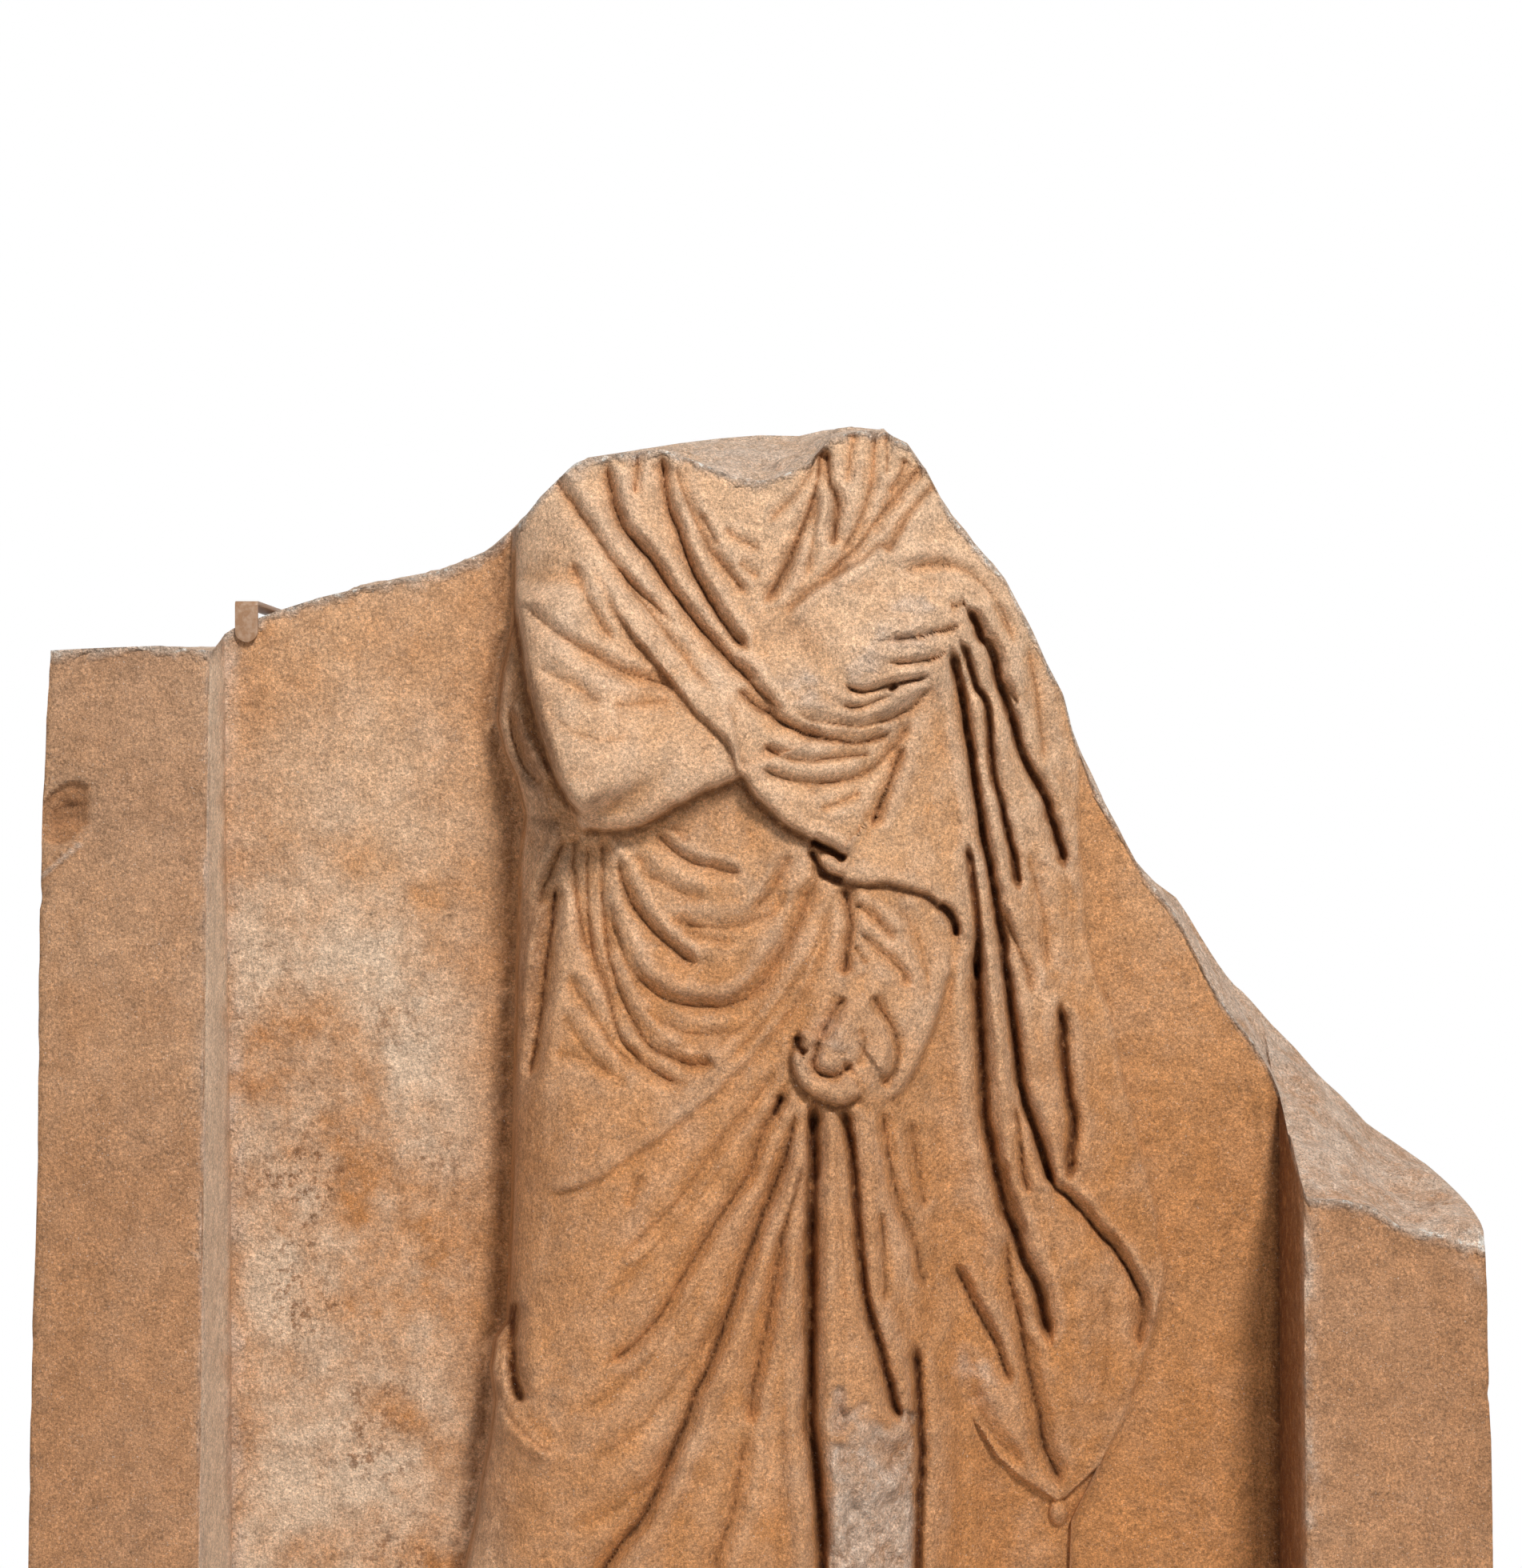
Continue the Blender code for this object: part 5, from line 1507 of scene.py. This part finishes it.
class Nodes:
    """A short hand for building a node tree."""

    def __init__(self, material: bpy.types.Material) -> None:
        """Opens a material's tree and clears it.

        Args:
            material: The material to build.
        """
        material.use_nodes = True
        self.tree = material.node_tree
        self.tree.nodes.clear()

    def add(self, kind: str, **settings: object) -> bpy.types.Node:
        """Adds a node.

        Args:
            kind: The node's type.
            settings: Attributes, or inputs by name with spaces as underscores.

        Returns:
            The node.
        """
        node = self.tree.nodes.new(kind)
        for name, value in settings.items():
            if hasattr(node, name):
                setattr(node, name, value)
            else:
                self.feed(node.inputs[name.replace("_", " ")], value)
        return node

    def feed(self, socket: bpy.types.NodeSocket, value: object) -> None:
        """Links a socket into an input, or sets the input's value.

        Args:
            socket: The input.
            value: A socket, or a plain value.
        """
        if isinstance(value, bpy.types.NodeSocket):
            self.tree.links.new(value, socket)
        else:
            socket.default_value = value

    def mark(self, name: str) -> bpy.types.NodeSocket:
        """Reads one of the stone's marks."""
        return self.add("ShaderNodeAttribute", attribute_name=name).outputs["Fac"]

    def place(self) -> bpy.types.NodeSocket:
        """The place on the object, in metres."""
        return self.add("ShaderNodeTexCoord").outputs["Object"]

    def stretch(self, vector: bpy.types.NodeSocket, scale: tuple[float, float, float],
                turn: tuple[float, float, float] = (0.0, 0.0, 0.0)) -> bpy.types.NodeSocket:
        """Scales and turns a place, to stretch what is read at it."""
        return self.add("ShaderNodeMapping", Vector=vector, Scale=scale, Rotation=turn).outputs[0]

    def noise(self, vector: bpy.types.NodeSocket, scale: float, detail: float = 4.0,
              roughness: float = 0.55) -> bpy.types.NodeSocket:
        """Cloudy noise from 0 to 1."""
        node = self.add("ShaderNodeTexNoise", Vector=vector, Scale=scale, Detail=detail, Roughness=roughness)
        return node.outputs["Fac"]

    def ramp(self, value: bpy.types.NodeSocket, low: float, high: float) -> bpy.types.NodeSocket:
        """Spreads a stretch of values over 0 to 1, held at both ends.

        Args:
            value: The value.
            low: What becomes 0.
            high: What becomes 1.

        Returns:
            The share.
        """
        node = self.add("ShaderNodeMapRange", Value=value, clamp=True)
        self.feed(node.inputs["From Min"], low)
        self.feed(node.inputs["From Max"], high)
        return node.outputs["Result"]

    def math(self, operation: str, first: object, second: object = 0.0) -> bpy.types.NodeSocket:
        """Works out one sum.

        Args:
            operation: Blender's name for it.
            first: A socket or a number.
            second: A socket or a number.

        Returns:
            The result.
        """
        node = self.add("ShaderNodeMath", operation=operation)
        self.feed(node.inputs[0], first)
        self.feed(node.inputs[1], second)
        return node.outputs[0]

    def mix(self, share: object, first: object, second: object, blend: str = "MIX") -> bpy.types.NodeSocket:
        """Mixes two colours.

        Args:
            share: The second colour's share.
            first: A socket or a colour.
            second: A socket or a colour.
            blend: Blender's name for the way to mix.

        Returns:
            The mixed colour.
        """
        node = self.add("ShaderNodeMix", data_type="RGBA", blend_type=blend)
        self.feed(node.inputs[0], share)
        self.feed(node.inputs[6], first)
        self.feed(node.inputs[7], second)
        return node.outputs[2]

    def bump(self, height: bpy.types.NodeSocket, depth: float,
             under: bpy.types.NodeSocket | None = None) -> bpy.types.NodeSocket:
        """Roughens the surface.

        Args:
            height: The height, from 0 to 1.
            depth: Metres that 1 stands for.
            under: Another roughening, under this one.

        Returns:
            The surface's direction.
        """
        node = self.add("ShaderNodeBump", Height=height, Distance=depth, Strength=1.0)
        if under is not None:
            self.feed(node.inputs["Normal"], under)
        return node.outputs[0]

    def times(self, *factors: object) -> bpy.types.NodeSocket:
        """Multiplies sockets or numbers.

        Args:
            factors: The factors, a socket first.

        Returns:
            The product.
        """
        product = factors[0]
        for factor in factors[1:]:
            product = self.math("MULTIPLY", product, factor)
        return product

    def cloud(self, place: bpy.types.NodeSocket, cloud: "Cloud") -> bpy.types.NodeSocket:
        """The mask that a cloud makes, without its strength."""
        return self.ramp(self.noise(place, cloud.scale, cloud.detail, cloud.roughness), cloud.low, cloud.high)

    def wash(self, colour: object, over: object, *masks: object) -> bpy.types.NodeSocket:
        """Lays a second colour over the first where all the masks say so."""
        return self.mix(self.times(*masks), colour, over)

    def close(self, shader: bpy.types.Node) -> None:
        """Joins the finished shader to the material's surface."""
        self.tree.links.new(shader.outputs[0], self.add("ShaderNodeOutputMaterial").inputs["Surface"])


Colour = tuple[float, float, float, float]


@dataclass(frozen=True)
class Cloud:
    """A mask of cloudy noise.

    Attributes:
        scale: Clouds to a metre.
        detail: Finer layers in it.
        roughness: How strong those are.
        low: Noise that counts as nothing.
        high: Noise that counts as full.
        strength: How strongly the mask acts.
    """

    scale: float
    detail: float
    roughness: float
    low: float
    high: float
    strength: float = 1.0


@dataclass(frozen=True)
class MarbleFinish:
    """Weathered marble with an ochre skin, pale crust on the panel, dirt and painted shade in folds and
    corners, and painted highlights.

    Its grains are given as grains to a metre, detail and contrast.
    """

    skin: Colour = (0.69, 0.43, 0.25, 1.0)
    # Real rust, also laid into the hollows and the soiled places as painted shade.
    rust_and_shade: Colour = (0.52, 0.235, 0.085, 1.0)
    # Bleached patches, also laid on the crests as painted highlight.
    bleach_and_highlight: Colour = (0.78, 0.56, 0.40, 1.0)
    grey: Colour = (0.385, 0.200, 0.102, 1.0)
    # The panel's crust, also laid on the left anta's lit inner wall as painted light.
    crust_and_lit_wall: Colour = (0.80, 0.65, 0.50, 1.0)
    speck: Colour = (0.25, 0.11, 0.045, 1.0)
    # Dark soil, laid both for dirt and for painted shade in creases and shadowed corners.
    soil_and_shade: Colour = (0.12, 0.035, 0.006, 1.0)
    fracture: Colour = (0.77, 0.59, 0.465, 1.0)
    # White crystal, laid as painted glints on breaks and as painted sparkle.
    crystal_and_glint: Colour = (0.92, 0.87, 0.80, 1.0)

    drifts: Cloud = Cloud(6.0, 6.0, 0.6, 0.40, 0.72, 0.62)
    blotches: Cloud = Cloud(22.0, 5.0, 0.65, 0.48, 0.70, 0.5)
    patches: Cloud = Cloud(25.0, 3.0, 0.6, 0.5, 0.68, 0.25)
    spots: Cloud = Cloud(48.0, 4.0, 0.7, 0.54, 0.70, 0.5)
    ageing: Cloud = Cloud(7.0, 5.0, 0.55, 0.2, 0.75, 0.4)
    flaking: Cloud = Cloud(34.0, 5.0, 0.6, 0.2, 0.6, 0.85)
    # Painted glints on fresh breaks.
    glints: Cloud = Cloud(150.0, 4.0, 0.7, 0.50, 0.62)
    # Breaks up the dirt and the painted shade.
    soil_and_shade_cloud: Cloud = Cloud(110.0, 4.0, 0.55, 0.05, 0.5, 0.5)
    # Crystal flecks with painted sparkle.
    crystal_flecks_and_sparkle: Cloud = Cloud(800.0, 2.0, 0.55, 0.67, 0.73)
    crusting: Cloud = Cloud(9.0, 6.0, 0.62, 0.36, 0.58, 0.72)
    speckles: Cloud = Cloud(120.0, 4.0, 0.75, 0.52, 0.60, 0.75)
    speckled: Cloud = Cloud(11.0, 3.0, 0.55, 0.44, 0.6)
    polish: Cloud = Cloud(30.0, 4.0, 0.55, 0.3, 0.7, 0.14)
    grains: tuple[tuple[float, float, float], ...] = ((75.0, 4.0, 0.5), (430.0, 3.0, 0.9), (950.0, 2.0, 0.8))
    rust_from: float = 0.93
    rust_full: float = 0.66
    rust_low: float = 0.85
    dull_low: float = 0.55
    bleach_from: float = 0.90
    bleach_full: float = 1.08
    bleach_top: float = 0.22
    # Rust with painted shade in the hollows, and bleach with painted highlight on the crests.
    hollow_rust_and_shade: float = 0.55
    crest_bleach_and_highlight: float = 0.32
    grey_least: float = 0.45
    # Painted light on the left anta's inner wall.
    lit_wall_paint: float = 0.75
    sheen: float = 0.3
    roughness: float = 0.72

    def material(self) -> bpy.types.Material:
        """Builds the marble.

        Returns:
            The material.
        """
        made = bpy.data.materials.new("weathered_marble")
        nodes = Nodes(made)
        place = nodes.place()
        # The dirt mark holds dirt together with painted shade; the skin mark picks the grey antae and the
        # left wall that is painted pale.
        dirt_and_shade, broken, skin = nodes.mark("dirt_and_shade"), nodes.mark("broken"), nodes.mark("skin")
        colour = self.skin_colour(nodes, place, nodes.mark("hollow"))
        colour = self.panel_crust(nodes, place, colour)
        aged = nodes.times(nodes.cloud(place, self.ageing), self.ageing.strength)
        aged = nodes.math("ADD", aged, self.grey_least)
        colour = nodes.wash(colour, self.grey, nodes.ramp(skin, 0.0, 1.0), aged)
        # Painted light: the left anta's inner wall, which faces the light, is painted pale.
        colour = nodes.wash(colour, self.crust_and_lit_wall, nodes.ramp(skin, 0.0, -1.0), self.lit_wall_paint)
        flaked = nodes.times(broken, nodes.cloud(place, self.flaking), self.flaking.strength)
        colour = nodes.mix(flaked, colour, self.fracture)
        # Painted glints of white crystal on fresh breaks.
        bare = nodes.ramp(broken, 0.9, 1.4)
        colour = nodes.wash(colour, self.crystal_and_glint, nodes.cloud(place, self.glints), bare)
        # Rust, then dark soil, where the dirt mark lies: real dirt together with painted shade in creases and
        # shadowed corners.
        soil_and_shade_mask = nodes.times(dirt_and_shade, nodes.cloud(place, self.soil_and_shade_cloud))
        colour = nodes.wash(colour, self.rust_and_shade, soil_and_shade_mask, self.soil_and_shade_cloud.strength)
        colour = nodes.mix(nodes.ramp(soil_and_shade_mask, 0.25, 1.15), colour, self.soil_and_shade)
        colour = self.granular(nodes, place, colour)
        # White crystal flecks over the whole stone, more on breaks: partly crystal, partly painted sparkle.
        fleck_and_sparkle_share = nodes.math("ADD", nodes.times(broken, 0.5), 0.4)
        colour = nodes.wash(colour, self.crystal_and_glint, nodes.cloud(place, self.crystal_flecks_and_sparkle), fleck_and_sparkle_share)
        shader = nodes.add("ShaderNodeBsdfPrincipled", Base_Color=colour)
        worn = nodes.times(nodes.cloud(place, self.polish), self.polish.strength)
        nodes.feed(shader.inputs["Roughness"], nodes.math("ADD", worn, self.roughness))
        shader.inputs["Specular IOR Level"].default_value = self.sheen
        nodes.feed(shader.inputs["Normal"], self.roughening(nodes, place, broken))
        nodes.close(shader)
        return made

    def granular(self, nodes: Nodes, place: bpy.types.NodeSocket,
                 colour: bpy.types.NodeSocket) -> bpy.types.NodeSocket:
        """Lightens and darkens the grains of the weathered crystal, at three sizes.

        Args:
            nodes: The material's nodes.
            place: The place on the stone.
            colour: The colour before.

        Returns:
            The colour after.
        """
        for scale, detail, light in self.grains:
            noise = nodes.noise(place, scale, detail, 0.65)
            shade = nodes.times(nodes.math("SUBTRACT", noise, 0.5), 2.0 * light)
            scaled = nodes.add("ShaderNodeVectorMath", operation="SCALE")
            nodes.feed(scaled.inputs[0], colour)
            nodes.feed(scaled.inputs["Scale"], nodes.math("ADD", shade, 1.0))
            colour = scaled.outputs[0]
        return colour

    def skin_colour(self, nodes: Nodes, place: bpy.types.NodeSocket,
                    hollow: bpy.types.NodeSocket) -> bpy.types.NodeSocket:
        """Colours the ochre skin, rustier low down, with rust and painted shade in hollows, and bleached with
        painted highlight on crests.

        Args:
            nodes: The material's nodes.
            place: The place on the stone.
            hollow: How sunk the place is.

        Returns:
            The colour.
        """
        height = nodes.add("ShaderNodeSeparateXYZ", Vector=place).outputs[2]
        lower = nodes.ramp(height, self.rust_from, self.rust_full)
        drift = nodes.times(nodes.cloud(place, self.drifts), self.drifts.strength)
        colour = nodes.mix(nodes.math("ADD", drift, nodes.times(lower, self.rust_low)), self.skin, self.rust_and_shade)
        pale = nodes.math("SUBTRACT", 1.0, nodes.times(lower, self.dull_low))
        blotches = nodes.cloud(nodes.stretch(place, (1.0, 1.0, 0.7)), self.blotches)
        colour = nodes.wash(colour, self.bleach_and_highlight, blotches, pale, self.blotches.strength)
        colour = nodes.wash(colour, self.rust_and_shade, nodes.cloud(place, self.spots), self.spots.strength)
        patches = nodes.cloud(place, self.patches)
        colour = nodes.wash(colour, self.bleach_and_highlight, patches, pale, self.patches.strength)
        upper = nodes.ramp(height, self.bleach_from, self.bleach_full)
        colour = nodes.wash(colour, self.bleach_and_highlight, upper, self.bleach_top)
        # Rust with painted shade in the hollows, and bleach with painted highlight on the crests.
        colour = nodes.wash(colour, self.rust_and_shade, nodes.ramp(hollow, 0.02, 0.75), self.hollow_rust_and_shade)
        return nodes.wash(colour, self.bleach_and_highlight, nodes.ramp(hollow, -0.04, -0.6), pale, self.crest_bleach_and_highlight)

    def panel_crust(self, nodes: Nodes, place: bpy.types.NodeSocket,
                    colour: bpy.types.NodeSocket) -> bpy.types.NodeSocket:
        """Lays the whitish crust and brown specks low on the panel's left side.

        Args:
            nodes: The material's nodes.
            place: The place on the stone.
            colour: The colour before.

        Returns:
            The colour after.
        """
        x, y, z = nodes.add("ShaderNodeSeparateXYZ", Vector=place).outputs
        across = nodes.times(nodes.ramp(x, -0.395, -0.37), nodes.ramp(x, -0.17, -0.24))
        area = nodes.times(nodes.ramp(z, 1.02, 0.80), across, nodes.ramp(y, 0.075, 0.050))
        crusted = nodes.cloud(place, self.crusting)
        colour = nodes.wash(colour, self.crust_and_lit_wall, area, crusted, self.crusting.strength)
        specks = nodes.times(nodes.cloud(place, self.speckles), nodes.cloud(place, self.speckled))
        lower = nodes.times(area, nodes.ramp(z, 0.85, 0.70))
        return nodes.wash(colour, self.speck, specks, lower, self.speckles.strength)

    def roughening(self, nodes: Nodes, place: bpy.types.NodeSocket,
                   broken: bpy.types.NodeSocket) -> bpy.types.NodeSocket:
        """Roughens the stone with lumps, pits, faint rasp marks and crumbled breaks.

        Args:
            nodes: The material's nodes.
            place: The place on the stone.
            broken: How broken the place is.

        Returns:
            The surface's direction.
        """
        pits = nodes.noise(place, 260.0, 5.0, 0.75)
        lumps = nodes.noise(place, 70.0, 4.0, 0.6)
        rasp = nodes.noise(nodes.stretch(place, (1.0, 1.0, 0.25), (0.0, 0.6, 0.0)), 420.0, 2.0)
        crumbs = nodes.times(nodes.noise(place, 120.0, 5.0, 0.75), broken)
        normal = nodes.bump(lumps, 0.0030)
        normal = nodes.bump(pits, 0.0028, normal)
        normal = nodes.bump(rasp, 0.0009, normal)
        return nodes.bump(crumbs, 0.006, normal)


@dataclass(frozen=True)
class ClipPaint:
    """Stone-coloured paint on the retaining clip, rubbed in cloudy patches.

    Attributes:
        coat: The paint.
        rubbed: The paint where it is rubbed.
        wear: The rubbed areas, and how much rougher they are.
    """

    coat: Colour = (0.30, 0.17, 0.095, 1.0)
    rubbed: Colour = (0.46, 0.33, 0.24, 1.0)
    wear: Cloud = Cloud(160.0, 4.0, 0.6, 0.45, 0.75, 0.25)

    def material(self) -> bpy.types.Material:
        """Builds the paint.

        Returns:
            The material.
        """
        made = bpy.data.materials.new("clip_paint")
        nodes = Nodes(made)
        place = nodes.place()
        wear = nodes.cloud(place, self.wear)
        shader = nodes.add("ShaderNodeBsdfPrincipled", Base_Color=nodes.mix(wear, self.coat, self.rubbed))
        nodes.feed(shader.inputs["Roughness"], nodes.math("ADD", nodes.times(wear, self.wear.strength), 0.38))
        nodes.feed(shader.inputs["Normal"], nodes.bump(nodes.noise(place, 500.0, 3.0), 0.0002))
        nodes.close(shader)
        return made


@dataclass
class RetainingClip:
    """The bent strip over the broken top edge, in the place of its solid.

    Attributes:
        thickness: Thickness of the metal.
        bend: Outer radius of its two bends.
        tongue: Length of the tongue in front of the stone.
        softness: Width of the rounding along its edges.
    """

    thickness: float = 0.003
    bend: float = 0.0035
    tongue: float = 0.026
    softness: float = 0.0007

    def path(self, low: Vector, high: Vector) -> list[tuple[float, float, float]]:
        """The strip's outer face from the rounded tongue over to the heel.

        Args:
            low: The solid's lowest corner.
            high: The solid's highest corner.

        Returns:
            Depth, height and half width at each step.
        """
        half = (high.x - low.x) / 2
        front, rear, over = low.y, high.y, high.z
        foot = over - self.tongue - self.thickness
        steps = []
        for step in range(13):
            angle = math.radians(7.5 * step)
            reach = half * max(math.sin(angle), 0.12)
            steps.append((front, foot + half * (1.0 - math.cos(angle)), reach))
        for middle, start in ((front + self.bend, 0), (rear - self.bend, 90)):
            for step in range(7):
                angle = math.radians(start + 15 * step)
                across, up = math.cos(angle), math.sin(angle)
                steps.append((middle - self.bend * across, over - self.bend * (1 - up), half))
        steps.append((rear, low.z, half))
        return steps

    def build(self, paint: ClipPaint) -> bpy.types.Object:
        """Makes the clip.

        Args:
            paint: The paint that it is dressed in.

        Returns:
            The clip as an object that stands for its solid.
        """
        low, high = (Vector(corner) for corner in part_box("retaining_clip"))
        steps = self.path(low, high)
        strip = bmesh.new()
        bmesh.ops.create_grid(strip, x_segments=4, y_segments=len(steps) - 1, size=1.0)
        for vertex in strip.verts:
            depth, height, reach = steps[round((vertex.co.y + 1.0) / 2.0 * (len(steps) - 1))]
            vertex.co = ((low.x + high.x) / 2 + vertex.co.x * reach, depth, height)
        bmesh.ops.recalc_face_normals(strip, faces=strip.faces)
        mesh = bpy.data.meshes.new("clip_strip")
        strip.to_mesh(mesh)
        strip.free()
        clip = bpy.data.objects.new("clip_strip", mesh)
        bpy.context.scene.collection.objects.link(clip)
        outward = mesh.polygons[8].normal.y < 0
        wall = clip.modifiers.new("wall", "SOLIDIFY")
        wall.thickness = self.thickness
        wall.offset = -1.0 if outward else 1.0
        soft = clip.modifiers.new("soft edges", "BEVEL")
        soft.width = self.softness
        soft.segments = 2
        soft.limit_method = "ANGLE"
        mesh.polygons.foreach_set("use_smooth", [True] * len(mesh.polygons))
        mesh.materials.append(paint.material())
        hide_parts("retaining_clip")
        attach(clip, "root")
        LOG.info("clip_strip: %d faces", len(mesh.polygons))
        return clip


@dataclass(frozen=True)
class SoftBox:
    """A soft box.

    Attributes:
        name: Its name.
        place: Where it hangs.
        size: Its side.
        power: Watts.
        tint: Its colour.
    """

    name: str
    place: tuple[float, float, float]
    size: float
    power: float
    tint: tuple[float, float, float]

    def hang(self, target: Vector) -> None:
        """Hangs the soft box.

        Args:
            target: Where it points.
        """
        data = bpy.data.lights.new(self.name, "AREA")
        data.size, data.energy, data.color = self.size, self.power, self.tint
        lamp = bpy.data.objects.new(self.name, data)
        lamp.location = self.place
        aim = target - Vector(self.place)
        lamp.rotation_euler = aim.to_track_quat("-Z", "Y").to_euler()
        bpy.context.scene.collection.objects.link(lamp)


@dataclass
class Studio:
    """Pale floor, soft light from the upper right, and the camera at the eye of the layout."""

    layout: Layout = field(default_factory=Layout)
    slab: Slab = field(default_factory=Slab)
    floor_size: float = 3.0
    floor_drop: float = 0.0005
    floor_colour: Colour = (0.86, 0.86, 0.85, 1.0)
    frame_squares: float = 196.0
    sensor: float = 36.0
    backdrop: float = 1.0
    ambient: float = 0.24
    target_height: float = 0.75
    lamps: tuple[SoftBox, ...] = (
        SoftBox("key", (1.36, -3.87, 4.51), 0.75, 340.0, (1.0, 0.97, 0.93)),
        SoftBox("fill", (-2.2, -2.4, 1.2), 1.6, 10.0, (1.0, 0.98, 0.96)),
    )

    @property
    def eye_height(self) -> float:
        """The camera's height."""
        return self.slab.ledge + (self.layout.sole - self.layout.eye) * self.layout.square

    def camera(self) -> None:
        """Sets the camera at the photograph's place."""
        data = bpy.data.cameras.new("eye")
        data.sensor_width = self.sensor
        data.lens = self.sensor * self.layout.sight / (self.frame_squares * self.layout.square)
        data.clip_start, data.clip_end = 0.05, 60.0
        eye = bpy.data.objects.new("eye", data)
        eye.location = (0.0, self.slab.face - self.layout.sight, self.eye_height)
        eye.rotation_euler = (math.radians(90), 0.0, 0.0)
        bpy.context.scene.collection.objects.link(eye)
        bpy.context.scene.camera = eye

    def floor(self) -> None:
        """Lays the pale floor."""
        bpy.ops.mesh.primitive_plane_add(size=self.floor_size, location=(0.0, 0.0, -self.floor_drop))
        floor = bpy.context.object
        floor.name = "floor"
        made = bpy.data.materials.new("pale_floor")
        made.use_nodes = True
        shader = made.node_tree.nodes["Principled BSDF"]
        shader.inputs["Base Color"].default_value = self.floor_colour
        shader.inputs["Roughness"].default_value = 0.9
        floor.data.materials.append(made)

    def air(self) -> None:
        """Lights the room: bright behind the stone, dimmer in front of it."""
        world = bpy.data.worlds.new("room")
        bpy.context.scene.world = world
        world.use_nodes = True
        tree = world.node_tree
        tree.nodes.clear()
        direction = tree.nodes.new("ShaderNodeTexCoord")
        parts = tree.nodes.new("ShaderNodeSeparateXYZ")
        spread = tree.nodes.new("ShaderNodeMapRange")
        spread.inputs["From Min"].default_value = 0.1
        spread.inputs["From Max"].default_value = 0.7
        spread.inputs["To Min"].default_value = self.ambient
        spread.inputs["To Max"].default_value = self.backdrop
        light = tree.nodes.new("ShaderNodeBackground")
        light.inputs["Color"].default_value = (1.0, 1.0, 1.0, 1.0)
        out = tree.nodes.new("ShaderNodeOutputWorld")
        tree.links.new(direction.outputs["Generated"], parts.inputs[0])
        tree.links.new(parts.outputs["Y"], spread.inputs["Value"])
        tree.links.new(spread.outputs["Result"], light.inputs["Strength"])
        tree.links.new(light.outputs[0], out.inputs["Surface"])

    def build(self) -> None:
        """Sets up the floor, the light and the camera."""
        self.floor()
        self.air()
        for lamp in self.lamps:
            lamp.hang(Vector((0.0, self.slab.face, self.target_height)))
        self.camera()
        bpy.context.scene.view_settings.view_transform = "Standard"
        LOG.info("studio: floor, two soft boxes and the camera")


def main() -> None:
    """Builds the stone, the clip and the studio."""
    logging.basicConfig(level=logging.INFO, format="%(name)s %(message)s")
    CarvedStone().build(MarbleFinish())
    RetainingClip().build(ClipPaint())
    Studio().build()


if __name__ == "__main__":
    main()
